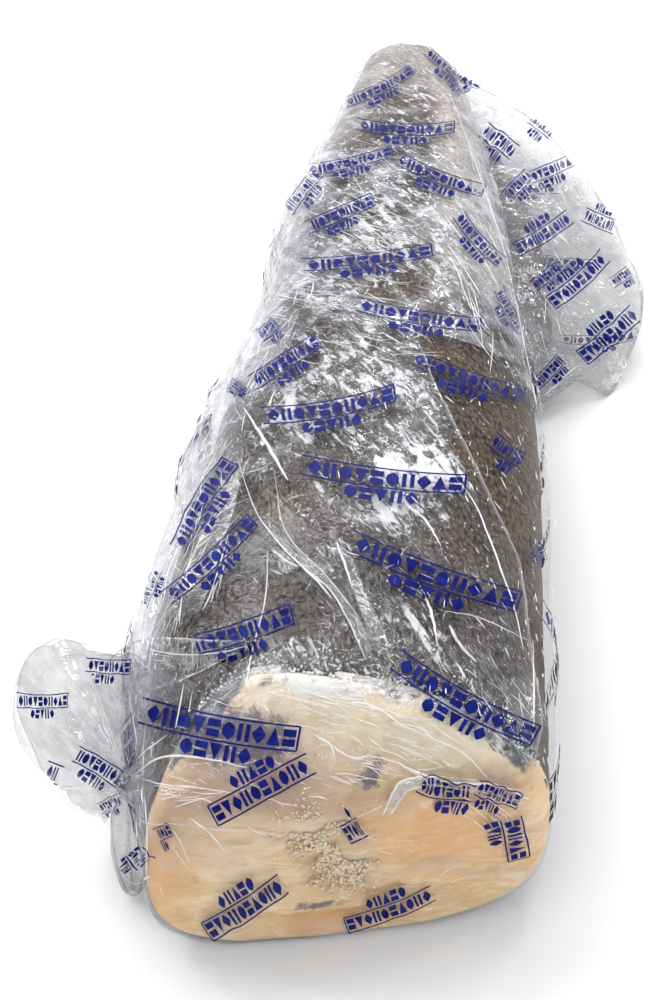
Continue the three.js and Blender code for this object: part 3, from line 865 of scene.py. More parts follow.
def lens_band():
    """The fan's film where it runs on over the front left of the trunk, as a pointed fold."""
    u, v = shares(24, 90)
    p = catmull(LENS_LOW, u) * (1 - v[..., None]) + catmull(LENS_TOP, u) * v[..., None]
    puff = 3.0 * np.sin(np.pi * v) * (1 - u) + 1.5 + 0.8 * (noise(u * 14, v * 3, 7) - 0.5)
    p = p + np.array([-0.25, -0.6, 0.5]) * puff[..., None]
    rim = 0.5 * smooth(np.abs(2 * v - 1), 0.88, 1.0)
    film_sheet("film_lens_fold", p, LOOSE, (0.13, 0.3, rim), 60 * u, 14 * v + 700)


def tuft():
    t, turn = table(np.linspace(0, 1, 60), turns(90))
    top, foot = np.array([-56, 13, 46.0]), np.array([-58.5, 3, 1.0])
    half = 7.0 * np.sqrt(np.sin(np.pi * (0.12 + 0.86 * t))) * (0.55 + 0.45 * smooth(t, 0, 0.35))
    wave = np.sin(7 * turn + 2 * t)
    pleat = 1 + 0.10 * wave * (0.4 + 0.6 * t) + 0.08 * (noise(turn * 2, t * 5, 8) - 0.5)
    p = top + (foot - top) * t[..., None]
    p = p + np.stack([half * np.cos(turn) * pleat, 0.55 * half * np.sin(turn) * pleat, 0 * turn], -1)
    p[..., 2] = np.maximum(p[..., 2], 0.3)
    haze = 0.28 + 0.12 * noise(turn * 2, t * 3, 9) + 0.15 * smooth(t, 0.86, 1)
    film_sheet("film_tuft", p, LOOSE, (haze, 0.4, 0.25 * smooth(wave, 0.75, 1)), 7 * turn, 45 * t + 500, closed=True)


def knot():
    """The twisted neck, with creases that gather into it."""
    t, turn = table(np.linspace(0.02, 0.98, 50), turns(100))
    wave = np.sin(11 * turn + 7 * t)
    reach = np.sin(np.pi * t) ** 0.7 * (1 + 0.16 * wave + 0.1 * (noise(turn * 3, t * 9, 11) - 0.5))
    p = np.stack([10 * (2 * t - 1) - 52, 13 + 6.5 * reach * np.cos(turn), 44 + 9 * reach * np.sin(turn)], -1)
    film_sheet("film_neck", p, LOOSE, (0.22, 0.9, 0.22 * smooth(wave, 0.6, 1)), 9 * turn, 20 * t + 600,
               closed=True, printed=False)


# ---- the print: a thin frame with rows of plain shapes ----

MARK_HALF = 25.0
MARK_FRAME = 4.9
MARK_SLICE = 1.8
SECOND_ROW_DOWN = 9.1


def strip(x0, y0, x1, y1, thick):
    """A thin line as short quads."""
    length = math.hypot(x1 - x0, y1 - y0)
    n = max(1, int(length / MARK_SLICE))
    t = np.linspace(0, 1, n + 1)
    d = np.array([y0 - y1, x1 - x0]) / length * 0.5 * thick
    line = np.stack([x0 + (x1 - x0) * t, y0 + (y1 - y0) * t], -1)
    return [[line[k] - d, line[k + 1] - d, line[k + 1] + d, line[k] + d] for k in range(n)]


def block(x, y, w, h):
    n = max(1, int(h / MARK_SLICE))
    e = np.linspace(y - h / 2, y + h / 2, n + 1)
    return [[(x - w / 2, e[k]), (x + w / 2, e[k]), (x + w / 2, e[k + 1]), (x - w / 2, e[k + 1])] for k in range(n)]


def sliced(x, y, w, h, half):
    """A plain shape in thin slices, so that it follows the film. half gives its half width, from the foot at -1
    to the top at 1."""
    t = np.linspace(-1, 1, max(4, int(h / 1.3)) + 1)
    side, e = 0.5 * w * np.maximum(half(t), 0.05), y + 0.5 * h * t
    return [[(x - side[k], e[k]), (x + side[k], e[k]), (x + side[k + 1], e[k + 1]), (x - side[k + 1], e[k + 1])]
            for k in range(len(t) - 1)]


def shape(kind, x, y, w, h):
    if kind == 0:
        return block(x - 0.3 * w, y, 0.34 * w, h) + block(x + 0.3 * w, y, 0.34 * w, h)
    if kind == 1:
        return sliced(x, y, w, h, lambda t: np.sqrt(1 - t * t))
    if kind == 2:
        return sliced(x, y, w, h, lambda t: np.minimum(1, 1.3 * (1 - np.abs(t))))
    if kind == 3:
        return sliced(x, y, w, h, lambda t: 0.55 + 0.5 * t)
    if kind == 4:
        return block(x, y + 0.28 * h, w, 0.42 * h) + block(x, y - 0.28 * h, w, 0.42 * h)
    return sliced(x, y, w, h, lambda t: 0.55 - 0.5 * t)


# The shapes of each row, the place of its first one, the step to the next, how far down it is, and its shapes' size.
MARK_ROWS = [([2, 0, 1, 3, 4, 1, 0, 2, 5, 4], -20.6, 4.75, 0, 4.0, 7.0),
             ([1, 4, 3, 0, 2], -9.0, 4.6, -SECOND_ROW_DOWN, 3.9, 6.4)]


def mark(start=-MARK_HALF, end=MARK_HALF):
    """One printed mark in mm about its middle, cut to the part from start to end."""
    faces = []
    for y in (MARK_FRAME, -MARK_FRAME):
        faces += strip(max(start, -MARK_HALF), y, min(end, MARK_HALF), y, 0.75)
    if end >= MARK_HALF - 1:
        faces += strip(MARK_HALF, -MARK_FRAME, MARK_HALF, MARK_FRAME, 0.7)
    for kinds, first, step, y, w, h in MARK_ROWS:
        for k, kind in enumerate(kinds):
            x = first + step * k
            if start < x - 1.5 and x + 1.5 < end:
                faces += shape(kind, x, y, w, h)
    return faces


PRINT_POINTS, PRINT_FACES = [], []


def all_points(polygons):
    """The polygons' points in one table, and where to part it again."""
    return np.concatenate([np.asarray(q, float) for q in polygons]), np.cumsum([len(q) for q in polygons])[:-1]


def wobble(q, width, seed):
    x, y = q[:, 0] / width, q[:, 1] / 6
    return np.stack([noise(x + seed, y, 12), noise(x, y + seed, 13)], -1)


def add_polygon(p):
    first = PRINT_FACES[-1][-1] + 1 if PRINT_FACES else 0
    PRINT_POINTS.append(p)
    PRINT_FACES.append(list(range(first, first + len(p))))


def put_mark(to_point, mirrored, crush, size, seed):
    """Adds a mark. to_point turns (right, up) in mm about the mark's middle into points of a film layer."""
    q, parts = all_points(mark())
    q = q * size * [-1 if mirrored else 1, 1]
    q = q + crush * wobble(q, 6, seed)
    for p in np.split(to_point(q[:, 0], q[:, 1]), parts):
        add_polygon(p)


# Marks that the photograph shows: the pixels of the frame's left and right ends (the other way round where it is
# upside down), its height in pixels, the bend of its middle, the part that shows (from start to end), and how crushed
# it is.
PHOTO_MARKS = [
    (394, 661, 534, 738, 21, -6, -25, 25, 0.2), (348, 541, 518, 604, 20, -5, -25, 25, 0.2),
    (300, 466, 465, 486, 18, -4, -25, 25, 0.2), (262, 418, 395, 395, 16, -5, -25, 25, 0.3),
    (252, 383, 318, 340, 15, 0, -25, 25, 0.8), (180, 650, 292, 615, 19, -3, -18, 25, 0.6),
    (167, 599, 253, 521, 15, -3, -25, 25, 0.7), (176, 548, 228, 460, 17, 4, -25, 25, 1.5),
    (302, 266, 432, 251, 12, -3, -25, 25, 0.3), (356, 305, 480, 326, 13, -3, -25, 25, 0.3),
    (410, 357, 523, 396, 14, -3, -25, 25, 0.3), (491, 439, 544, 474, 15, -3, -25, 5, 0.4),
    (395, 158, 483, 192, 12, -4, -25, 25, 0.5), (356, 126, 454, 129, 11, -5, -25, 25, 0.4),
    (345, 104, 412, 71, 10, -3, -25, 25, 0.6), (302, 230, 373, 199, 13, 0, -22, 25, 0.9),
    (456, 214, 507, 268, 12, -4, -25, 20, 0.4), (306, 171, 392, 152, 10, -3, -25, 25, 1.0),
    (287, 212, 321, 168, 12, 2, -25, 20, 2.0), (425, 51, 479, 87, 9, -4, -25, 25, 1.2),
    (452, 70, 476, 100, 10, 0, -25, 10, 1.8), (498, 289, 523, 333, 9, -2, -25, 25, 0.8),
    (537, 540, 547, 575, 8, 0, -25, 5, 0.6), (142, 606, 160, 562, 9, 0, -25, 15, 1.6),
    (256, 338, 286, 316, 12, 0, -20, 10, 2.4), (227, 400, 243, 372, 10, 0, -15, 10, 2.0),
    (140, 712, 298, 741, 24, -4, -25, 25, 0.0), (311, 763, 213, 816, 21, 0, -25, 25, 0.5),
    (383, 812, 346, 836, 20, 2, 4, 25, 0.6), (417, 783, 491, 797, 17, -3, -25, 14, 3.6),
    (466, 781, 519, 803, 15, -2, -15, 25, 3.0), (503, 794, 520, 859, 21, 2, -6, 25, 1.0),
    (284, 884, 208, 933, 20, 2, -25, 25, 1.0), (434, 894, 347, 927, 15, 3, -25, 25, 1.0),
    (76, 663, 130, 668, 13, -2, -16, 25, 1.2), (16, 701, 68, 701, 13, -2, -25, 25, 1.4),
    (45, 770, 98, 790, 18, 0, -25, -10, 0.6), (70, 750, 127, 784, 16, 2, -20, 25, 0.8),
    (94, 812, 122, 797, 10, 0, -15, 20, 2.4), (121, 838, 149, 868, 19, 2, -6, 22, 2.6),
    (140, 845, 170, 829, 14, 0, 2, 25, 1.2), (518, 182, 577, 158, 12, -2, -14, 25, 0.6),
    (618, 229, 581, 213, 13, 0, -22, 22, 0.8), (571, 217, 517, 250, 14, 2, -25, 25, 0.8),
    (606, 256, 552, 304, 15, 3, -25, 25, 0.8), (637, 312, 583, 358, 17, 2, -25, 25, 1.6),
    (535, 386, 573, 347, 11, 0, -25, 10, 1.0), (529, 114, 556, 136, 13, 0, -20, 20, 1.6),
    (483, 129, 518, 155, 16, 0, -25, 20, 1.6), (503, 200, 532, 170, 12, 0, -20, 20, 1.2),
    (533, 287, 562, 264, 11, 0, -25, 20, 1.2), (612, 283, 637, 266, 10, 0, -25, 10, 1.2),
]


def view_rays(x, y):
    """Directions in which the photograph's camera sees these pixels."""
    pitch, yaw = math.radians(VIEW_PITCH), math.radians(VIEW_YAW)
    ahead = np.array([-math.sin(yaw) * math.cos(pitch), math.cos(yaw) * math.cos(pitch), -math.sin(pitch)])
    right = np.array([math.cos(yaw), math.sin(yaw), 0.0])
    up = np.cross(right, ahead)
    across = (np.asarray(x, float) - VIEW_MIDDLE[0]) / VIEW_FOCAL
    down = (np.asarray(y, float) - VIEW_MIDDLE[1]) / VIEW_FOCAL
    rays = ahead + across[..., None] * right - down[..., None] * up
    return rays / np.linalg.norm(rays, axis=-1, keepdims=True)


def film_tree():
    points, faces, first = [], [], 0
    for p, f in SURFACES:
        points.append(p)
        faces += (f + first).tolist()
        first += len(p)
    return BVHTree.FromPolygons(np.concatenate(points).tolist(), faces)


def on_film(tree, x, y, lift):
    """Points of the outer film under the photograph's pixels. One that falls beside the film is not a number."""
    rays = view_rays(x, y)
    hits = [tree.ray_cast(VIEW_PLACE.tolist(), ray)[0] for ray in rays.tolist()]
    return np.array([(math.nan,) * 3 if hit is None else hit for hit in hits]) - lift * rays


# How deep a shape on one sheet of film may reach, away from the camera, at two pixel rows.
DEPTH_ROWS, DEPTHS = [120, 450], [24, 9]
PRINT_LIFT = 0.25
PLEAT_LIFT = 0.12
RIBBON_LIFT = 0.1


def whole(points, y):
    """Whether these points lie on one sheet of film, near pixel row y."""
    depth = (points - VIEW_PLACE) @ view_rays(*VIEW_MIDDLE)
    return bool(np.ptp(depth) < np.interp(np.mean(y), DEPTH_ROWS, DEPTHS))


def photo_mark(tree, x0, y0, x1, y1, height, bend, start, end, crush, seed):
    length = math.hypot(x1 - x0, y1 - y0)
    along = np.array([x1 - x0, y1 - y0]) / length
    across = np.array([along[1], -along[0]])
    q, parts = all_points(mark(start, end))
    q = q + crush * (wobble(q, 7, seed) - 0.5)
    share = q[:, 0] / (2 * MARK_HALF)
    pixel = np.array([x0 + x1, y0 + y1]) / 2 + np.outer(share * length, along)
    pixel = pixel + (q[:, 1] / 9.4 * height - bend * (4 * share ** 2 - 0.5))[:, None] * across
    points = on_film(tree, pixel[:, 0], pixel[:, 1], PRINT_LIFT)
    for p, at in zip(np.split(points, parts), np.split(pixel, parts)):
        if whole(p, at[:, 1]):
            add_polygon(p)


def on_wrap(along, girth):
    def to_point(right, up):
        a = np.clip(along + up, 0, TAIL_END - 1)
        return film_point(a, angle_of(a, girth + right), 1.5)
    return to_point


def on_sheet(point, u0, v0, right_way):
    """Lays a mark on a sheet by its slope at the mark's middle. right_way is the mark's right in (x, y, z)."""
    near = point(np.array([u0, u0 + 0.01, u0]), np.array([v0, v0, v0 + 0.01]))
    du, dv = (near[1] - near[0]) / 0.01, (near[2] - near[0]) / 0.01
    inverse = np.linalg.pinv(np.stack([du, dv], 1))
    normal = np.cross(du, dv)
    e1 = np.asarray(right_way, float)
    e1 = e1 - normal * (e1 @ normal) / (normal @ normal)
    e1 = e1 / np.linalg.norm(e1)
    e2 = np.cross(normal, e1)
    e2 = e2 / np.linalg.norm(e2)
    if e2[1] + e2[2] < 0:
        e2 = -e2

    def to_point(right, up):
        d = (np.outer(right, e1) + np.outer(up, e2)) @ inverse.T
        return point(np.clip(u0 + d[:, 0], 0.005, 0.995), np.clip(v0 + d[:, 1], 0.03, 0.985))
    return to_point


# The print goes on round the trunk, past what the photograph shows: how far it is from one row and one mark to the
# next, and how far round the photograph shows it.
PRINT_STEP = 42
PRINT_TURN = 71
SHOWN_GIRTH = 88
UNDER_MARKS = [(0.34, 0.5, (1, 0, 0), True), (0.5, 0.55, (1, -0.3, 0), True), (0.66, 0.8, (1, -0.2, 0), False)]


def printing(tree):
    for k, row in enumerate(PHOTO_MARKS):
        photo_mark(tree, *row, 3.7 * k)
    for k in range(14):
        for m in (-3, -2, -1, 1, 2, 3):
            along, girth = 25 + PRINT_STEP * k, 45 - 21 * (k % 4) + PRINT_TURN * m
            if SHOWN_GIRTH < abs(girth) < 0.9 * math.pi * float(half_width(np.array(float(along)))):
                put_mark(on_wrap(along, girth), False, 0.8, 1.0, k)
    for u, v, way, mirrored in UNDER_MARKS:
        put_mark(on_sheet(lambda a, b: rear_point(a, b, -1, -0.2), u, v, way), mirrored, 1.0, 0.85, 6)
    make("film_print", np.concatenate(PRINT_POINTS), PRINT_FACES, INK)


# Creases and painted glints that the photograph shows: the width in mm, and the pixels along each one.
PHOTO_GLINTS_AND_CREASES = [
    (0.8, 126, 782, 143, 768, 157, 759, 181, 756, 214, 760, 248, 768), (0.6, 133, 763, 148, 749, 167, 735),
    (0.45, 140, 778, 165, 785, 200, 788, 238, 794), (0.8, 440, 781, 470, 784, 500, 786, 530, 800),
    (0.9, 329, 744, 352, 758, 369, 756), (1.1, 398, 763, 417, 773, 438, 778), (0.6, 369, 756, 384, 759, 398, 763),
    (0.5, 340, 701, 360, 706, 383, 712, 402, 725, 431, 737), (0.5, 431, 737, 464, 754, 488, 778),
    (0.6, 300, 690, 322, 697, 345, 704), (0.9, 345, 703, 365, 704, 388, 713),
    (0.8, 383, 815, 392, 795, 402, 781, 440, 776), (0.9, 391, 815, 400, 800, 410, 789, 440, 787),
    (0.7, 314, 735, 329, 744, 336, 759), (0.6, 190, 818, 210, 834, 227, 853),
    (0.5, 268, 550, 265, 600, 250, 660, 246, 688), (0.6, 229, 532, 212, 590, 203, 610),
    (0.45, 222, 575, 214, 590, 211, 603), (0.9, 336, 541, 345, 565, 352, 585), (0.8, 300, 565, 318, 582, 332, 598),
    (0.5, 274, 550, 288, 562, 300, 566), (0.5, 237, 457, 255, 509, 272, 535, 297, 562, 330, 590, 347, 618, 366, 659),
    (0.35, 274, 468, 286, 532, 324, 573, 352, 607), (0.4, 241, 474, 257, 470, 273, 462),
    (0.9, 405, 504, 425, 520, 441, 545), (1.0, 422, 590, 431, 612, 438, 645), (1.1, 449, 626, 460, 645, 477, 662),
    (0.9, 456, 662, 466, 679), (0.4, 440, 610, 480, 618, 528, 640), (1.4, 244, 408, 262, 436, 275, 458, 288, 480),
    (1.8, 292, 289, 303, 284, 314, 281), (0.9, 314, 282, 311, 297),
    (0.6, 452, 97, 479, 174, 506, 258, 521, 328, 537, 405),
    (0.7, 455, 478, 473, 500, 490, 540, 503, 575, 515, 610, 524, 650), (0.6, 533, 640, 534, 700, 533, 745),
    (0.45, 300, 335, 340, 345, 380, 362, 410, 385), (0.5, 262, 290, 300, 300, 350, 306),
    (0.5, 330, 210, 360, 222, 400, 232), (0.5, 345, 160, 370, 200, 420, 225), (0.6, 560, 380, 575, 368, 598, 355),
    (0.7, 545, 395, 560, 382), (0.5, 480, 90, 520, 130, 575, 185), (0.5, 20, 672, 45, 690, 60, 720),
    (0.5, 96, 690, 112, 735, 124, 775), (0.5, 60, 735, 90, 755, 122, 780), (0.6, 129, 690, 133, 720, 138, 745),
    (0.5, 136, 800, 134, 835, 128, 872), (0.5, 145, 800, 147, 840, 146, 880), (0.8, 120, 872, 135, 884, 150, 876),
    (0.5, 150, 650, 185, 655, 222, 652, 246, 646),
]

# Flattened folds of film: the haze, how many points go down the left edge, and the pixels of both edges.
PHOTO_PLEATS = [
    (0.3, 6, 237, 457, 255, 509, 297, 562, 330, 590, 347, 618, 366, 659, 274, 468, 286, 532, 324, 573, 352, 607,
     366, 634, 373, 660),
    (0.24, 5, 330, 543, 341, 560, 352, 588, 363, 616, 380, 651, 338, 537, 353, 560, 367, 596, 380, 622, 390, 650),
    (0.25, 3, 272, 548, 276, 560, 284, 576, 284, 552, 292, 560, 297, 567),
    (0.55, 4, 383, 815, 392, 795, 402, 781, 440, 776, 391, 815, 400, 800, 410, 789, 440, 787),
    (0.22, 3, 440, 776, 480, 780, 528, 792, 440, 787, 480, 796, 526, 812),
    (0.2, 4, 500, 640, 503, 680, 508, 720, 512, 752, 531, 640, 533, 680, 533, 720, 533, 752),
    (0.25, 4, 289, 262, 270, 300, 262, 340, 250, 372, 318, 262, 304, 300, 290, 335, 270, 372),
    (0.32, 3, 310, 160, 350, 150, 392, 146, 306, 178, 350, 168, 392, 158),
    (0.3, 4, 300, 168, 284, 220, 266, 290, 258, 330, 318, 172, 302, 220, 286, 285, 274, 330),
    (0.26, 3, 330, 118, 350, 92, 364, 72, 352, 124, 368, 98, 380, 76),
    (0.3, 4, 432, 62, 462, 110, 492, 190, 512, 260, 446, 58, 474, 104, 502, 182, 520, 252),
    (0.26, 3, 300, 296, 360, 300, 420, 316, 304, 307, 364, 313, 424, 330),
    (0.26, 3, 420, 316, 470, 330, 520, 350, 424, 330, 470, 343, 520, 364),
    (0.34, 4, 455, 130, 478, 200, 500, 280, 520, 350, 468, 130, 490, 200, 511, 280, 530, 350),
    (0.2, 3, 330, 300, 370, 312, 410, 340, 335, 288, 380, 300, 420, 325),
    (0.22, 4, 230, 440, 215, 500, 190, 560, 160, 620, 244, 446, 236, 500, 218, 560, 200, 612),
]


def ribbon(points, width):
    """A crease or a painted glint as a thin tapered ridge through points on the film."""
    points = np.asarray(points)
    n = len(points)
    ahead = np.gradient(points, axis=0)
    outward = VIEW_PLACE - points
    side = np.cross(ahead, outward)
    side = side / (np.linalg.norm(side, axis=1, keepdims=True) + 1e-9)
    outward = outward / np.linalg.norm(outward, axis=1, keepdims=True)
    taper_off = np.sin(np.pi * np.linspace(0.04, 0.96, n)) ** 0.6
    half = 0.5 * width * taper_off[:, None]
    return np.stack([points - side * half, points + outward * 0.45 * half, points + side * half], 1)


def unbroken(points, limit):
    """The parts of a row of points without a step longer than limit."""
    points = np.asarray(points)
    if len(points) < 4:
        return []
    flat = points.reshape(len(points), -1, 3)
    step = np.linalg.norm(np.diff(flat, axis=0), axis=2).max(1)
    return [part for part in np.split(points, np.where(step > limit)[0] + 1) if len(part) > 3]


def fold_line(pixels, count):
    return catmull(np.column_stack([pixels, np.zeros(len(pixels))]), np.linspace(0, 1, count))[:, :2]


def pleats(tree):
    points, faces, first = [], [], 0
    haze, edge, uv = [], [], []
    columns = 9
    for k, (share, split, *pixels) in enumerate(PHOTO_PLEATS):
        pixels = np.array(pixels, float).reshape(-1, 2)
        left, right = pixels[:split], pixels[split:]
        rows = max(10, int(np.linalg.norm(np.diff(left, axis=0), axis=1).sum() / 2.5))
        left, right = fold_line(left, rows), fold_line(right, rows)
        t = np.linspace(0, 1, columns)
        grid = left[:, None] * (1 - t[:, None]) + right[:, None] * t[:, None]
        p = on_film(tree, grid[..., 0].ravel(), grid[..., 1].ravel(), PLEAT_LIFT).reshape(rows, columns, 3)
        parts = unbroken([row for row, at in zip(p, grid) if whole(row, at[:, 1])], 7)
        if not parts:
            continue
        p = max(parts, key=len)
        rows = len(p)
        rim = smooth(np.abs(2 * t - 1), 0.72, 1.0)
        ends = np.sin(np.pi * np.linspace(0.03, 0.97, rows)) ** 0.5
        haze.append(share * ends[:, None] * (0.7 + 0.5 * noise(np.arange(rows)[:, None] / 4.0, 3 * t[None] + k, 5)))
        edge.append(0.35 * ends[:, None] * rim[None] * noise(np.arange(rows)[:, None] / 3.0, t[None] * 2 + k, 6))
        across, down = np.broadcast_arrays(900 + 20 * k + 6 * t[None], 1.2 * np.arange(rows)[:, None])
        uv.append(np.stack([across, down], -1).reshape(-1, 2))
        points.append(p.reshape(-1, 3))
        faces += (grid_faces(rows, columns) + first).tolist()
        first += rows * columns
    values = {"haze": np.concatenate([h.ravel() for h in haze]), "edge": np.concatenate([e.ravel() for e in edge])}
    values["crease"] = np.full(len(values["haze"]), 0.5)
    make("film_pleats", np.concatenate(points), faces, FILM, values, np.concatenate(uv))


# Where fine creases and small painted glints lie on the film, in pixels: x and y of the middle and its spread, the
# slope, the length and how many there are.
FINE_GLINTS_AND_CREASES = [
    (370, 725, 75, 22, 0.38, 34, 60), (190, 790, 32, 12, 0.12, 40, 18), (480, 815, 30, 16, 0.75, 26, 26),
    (300, 690, 50, 10, 0.15, 22, 30), (250, 860, 60, 40, 0.6, 26, 8), (430, 880, 60, 14, -0.22, 40, 8),
    (400, 770, 60, 12, 0.2, 26, 24), (300, 780, 60, 26, 0.25, 26, 16), (240, 730, 70, 40, 0.3, 20, 16),
    (390, 120, 40, 55, 0.5, 30, 34), (360, 220, 60, 45, 0.35, 36, 50), (350, 320, 80, 45, 0.3, 38, 46),
    (478, 250, 22, 100, 2.7, 60, 34), (270, 350, 30, 60, -1.3, 44, 26), (205, 490, 25, 80, -1.9, 60, 40),
    (160, 600, 16, 40, -2.6, 50, 20), (545, 250, 20, 100, 2.6, 50, 16), (590, 250, 40, 100, 1.2, 50, 18),
    (60, 720, 40, 60, 0.9, 40, 16), (500, 715, 30, 40, 1.3, 30, 26), (430, 850, 90, 20, 0.1, 34, 10),
    (175, 860, 20, 40, 1.4, 26, 6),
]


# Short white slivers scattered over the film: painted glints.
LOOSE_GLINT_COUNT = 820


# White ribbons on the film: creases, and painted glints where crinkles would catch the light.
def creases(tree):
    rng = np.random.default_rng(12)
    lines = []
    for width, *pixels in PHOTO_GLINTS_AND_CREASES:
        pixels = np.array(pixels, float).reshape(-1, 2)
        count = max(6, int(np.linalg.norm(np.diff(pixels, axis=0), axis=1).sum() / 2.2))
        u = np.linspace(0, 1, count)
        path = fold_line(pixels, count)
        path = path + 1.1 * (np.stack([noise(u * 14, 0 * u + width, 2), noise(u * 14, 0 * u + width, 3)], -1) - 0.5)
        lines.append((path, 0.8 * width))
    for x, y, spread_x, spread_y, slope, length, count in FINE_GLINTS_AND_CREASES:
        for k in range(count):
            t = np.linspace(-0.5, 0.5, 8) * length * rng.uniform(0.3, 1.3)
            turn = math.atan(slope) + rng.normal(0, 0.22)
            bend = rng.normal(0, 0.006)
            middle = np.array([x + spread_x * rng.uniform(-1, 1), y + spread_y * rng.uniform(-1, 1)])
            middle[1] += 0.3 * (middle[0] - x) * (slope > 0.3)
            path = middle + np.stack([t * math.cos(turn) - bend * t * t * math.sin(turn),
                                      t * math.sin(turn) + bend * t * t * math.cos(turn)], -1)
            lines.append((path, rng.uniform(0.1, 0.3) * (1.5 if y < 400 else 1.0)))
    shapes = []
    for path, width in lines:
        p = on_film(tree, path[:, 0], path[:, 1], RIBBON_LIFT)
        shapes += [(part, width) for part in unbroken(p[~np.isnan(p[:, 0])], 4 + 8 * width)]
    # Seeded painted glints, short white slivers, over the right side, the back and the left flank.
    for k in range(LOOSE_GLINT_COUNT):
        band = rng.random()
        if band < 0.55:
            a, g, size = 280 * rng.random(), rng.uniform(34, 88), 0.5 + 4.5 * rng.random() ** 3
        elif band < 0.88:
            a, g, size = 420 * rng.random() ** 1.2, rng.uniform(-45, 45), rng.uniform(1, 5)
        else:
            a, g, size = 400 * rng.random(), rng.uniform(-90, -35), rng.uniform(4, 18)
        turn = rng.normal(-0.4, 0.5) if g > -35 else rng.normal(-0.1, 0.3)
        t = np.linspace(-0.5, 0.5, 5) * size
        aa, gg = a - t * math.cos(turn), g - t * math.sin(turn) + 0.06 * t * t / size
        aa = np.maximum(aa, 0.5)
        shapes.append((film_point(aa, angle_of(aa, gg), 1.6), 0.12 + 0.36 * rng.random() ** 2))
    points, faces, first = [], [], 0
    for p, width in shapes:
        points.append(ribbon(p, width).reshape(-1, 3))
        faces += (grid_faces(len(p), 3) + first).tolist()
        first += 3 * len(p)
    make("film_glints_and_creases", np.concatenate(points), faces, GLINT_AND_CREASE)


# ---- crumbs of bone and grains of frost ----

CRUMB_COUNT = 2300
GRAIN_COUNT = 5200
RIM_GRAIN_COUNT = 800


def lumps(name, centres, sizes, material, seed):
    """Small rough grains, each its own closed lump."""
    rng = np.random.default_rng(seed)
    golden = (1 + 5 ** 0.5) / 2
    base = np.array([(-1, golden, 0), (1, golden, 0), (-1, -golden, 0), (1, -golden, 0),
                     (0, -1, golden), (0, 1, golden), (0, -1, -golden), (0, 1, -golden),
                     (golden, 0, -1), (golden, 0, 1), (-golden, 0, -1), (-golden, 0, 1)])
    base = base / np.linalg.norm(base[0])
    tri = [(0, 11, 5), (0, 5, 1), (0, 1, 7), (0, 7, 10), (0, 10, 11), (1, 5, 9), (5, 11, 4), (11, 10, 2), (10, 7, 6),
           (7, 1, 8), (3, 9, 4), (3, 4, 2), (3, 2, 6), (3, 6, 8), (3, 8, 9), (4, 9, 5), (2, 4, 11), (6, 2, 10),
           (8, 6, 7), (9, 8, 1)]
    points, faces = [], []
    for k, (centre, size) in enumerate(zip(centres, sizes)):
        rough = base * (1 + 0.35 * (rng.random((12, 1)) - 0.5)) * (size * (0.7 + 0.6 * rng.random(3)))
        points.append(rough + centre)
        faces += [[a + 12 * k, b + 12 * k, c + 12 * k] for a, b, c in tri]
    make(name, np.concatenate(points), faces, material)


def crumbs():
    rng = np.random.default_rng(5)
    t = rng.random(CRUMB_COUNT)
    x = SPINE_X - 6 + 13 * t + rng.normal(0, 4.4, CRUMB_COUNT)
    z = 55 - 24 * t + rng.normal(0, 4.4, CRUMB_COUNT)
    keep = noise(x / 6 + 40, z / 6 + 9, 4) + 0.12 * rng.random(CRUMB_COUNT) > 0.44
    x, z = x[keep], z[keep]
    s, angle = on_face(x, z)
    centres = fish_point(s, angle, 1.2 - 0.8 * rng.random(len(x)))
    lumps("backbone_crumbs", centres, 0.2 + 0.42 * rng.random(len(x)) ** 2.5, CRUMB, 6)
    along = 320 * rng.random(GRAIN_COUNT) ** 1.5
    girth = rng.uniform(-56, 70, GRAIN_COUNT)
    keep = rng.random(GRAIN_COUNT) < (frost_at(along, girth) * 1.15) ** 3
    along = np.concatenate([along[keep], 7 * rng.random(RIM_GRAIN_COUNT) ** 2])
    girth = np.concatenate([girth[keep], rng.uniform(-40, 72, RIM_GRAIN_COUNT)])
    centres = fish_point(along, angle_of(along, girth), 1.5 - 0.3 * rng.random(len(along)))
    lumps("frost_grains", centres, 0.12 + 0.38 * rng.random(len(along)) ** 2, FROST, 8)


fish()
wrap_film()
outer_layer()
front_layer()
rear_end()
rear_mass()
fan()
lens_band()
tuft()
knot()
film = film_tree()
pleats(film)
printing(film)
creases(film)
crumbs()

# ---- floor, light and camera ----

floor_mesh = bpy.data.meshes.new("floor")
floor_mesh.from_pydata([(-6, -6, 0), (6, -6, 0), (6, 6, 0), (-6, 6, 0)], [], [(0, 1, 2, 3)])
floor = bpy.data.objects.new("floor", floor_mesh)
bpy.context.scene.collection.objects.link(floor)
paper = Shader("paper")
floor_mesh.materials.append(paper.finish(paper.surface({"Base Color": (0.93, 0.93, 0.93, 1), "Roughness": 0.9})))

world = bpy.data.worlds.new("studio")
bpy.context.scene.world = world
world.use_nodes = True
background = world.node_tree.nodes["Background"]
background.inputs[0].default_value = (0.97, 0.98, 1.0, 1)
background.inputs[1].default_value = 0.44

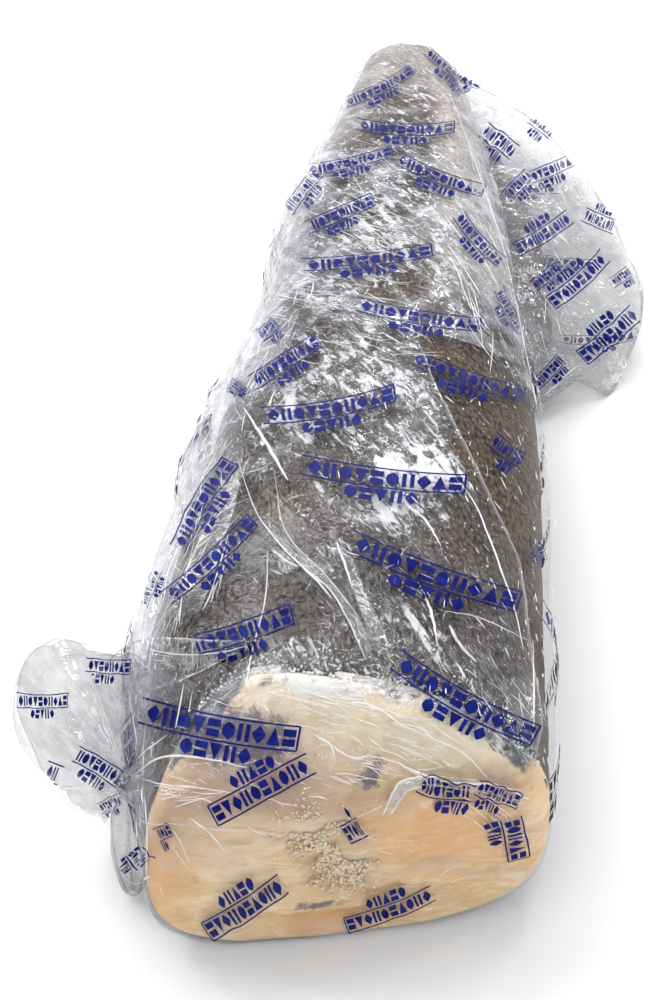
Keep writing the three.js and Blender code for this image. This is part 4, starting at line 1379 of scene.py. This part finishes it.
# Each light: its place, how far to the front it points, its width and height in metres, and its power.
LIGHTS = {
    "key": ((-0.75, 0.7, 1.3), 0, 1.3, 1.3, 19.5),
    "spark_left": ((-0.9, 0.15, 1.1), 0, 0.14, 0.14, 2),
    "spark_back": ((0.1, 1.2, 1.0), 0, 0.14, 0.14, 2),
    "spark_top": ((0.25, 0.35, 1.4), 0, 0.14, 0.14, 2),
    "fill": ((0.5, -0.9, 0.9), -0.2, 0.6, 0.4, 3),
    "strip_left": ((-1.0, -0.1, 0.75), 0, 0.05, 1.1, 2.5),
    "strip_back": ((-0.1, 1.25, 0.9), 0, 1.1, 0.05, 2.5),
    "strip_top": ((0.15, 0.1, 1.4), 0, 0.05, 1.2, 2.5),
    "strip_right": ((0.9, 0.2, 0.8), 0, 0.05, 1.0, 2),
    "strip_front": ((-0.3, -0.7, 1.1), -0.2, 0.9, 0.05, 2),
}
for name, (place, aim, width, height, power) in LIGHTS.items():
    data = bpy.data.lights.new(name, "AREA")
    data.shape = "RECTANGLE"
    data.size, data.size_y, data.energy = width, height, power
    lamp = bpy.data.objects.new(name, data)
    lamp.location = place
    lamp.rotation_euler = (Vector((0, aim, 0)) - Vector(place)).to_track_quat("-Z", "Y").to_euler()
    bpy.context.scene.collection.objects.link(lamp)

SENSOR = 36
camera_data = bpy.data.cameras.new("camera")
camera_data.lens = VIEW_FOCAL * SENSOR / PHOTO_HEIGHT
camera_data.sensor_width = SENSOR
camera = bpy.data.objects.new("camera", camera_data)
camera.location = (VIEW_PLACE + SHIFT) * MM
camera.rotation_euler = (math.radians(90 - VIEW_PITCH), 0, math.radians(VIEW_YAW))
bpy.context.scene.collection.objects.link(camera)
bpy.context.scene.camera = camera

scene = bpy.context.scene
scene.view_settings.view_transform = "Standard"
scene.cycles.transparent_max_bounces = 16
scene.cycles.max_bounces = 5
scene.cycles.diffuse_bounces = 1
scene.cycles.glossy_bounces = 2
scene.cycles.caustics_reflective = False
scene.cycles.caustics_refractive = False
scene.cycles.adaptive_threshold = 0.1
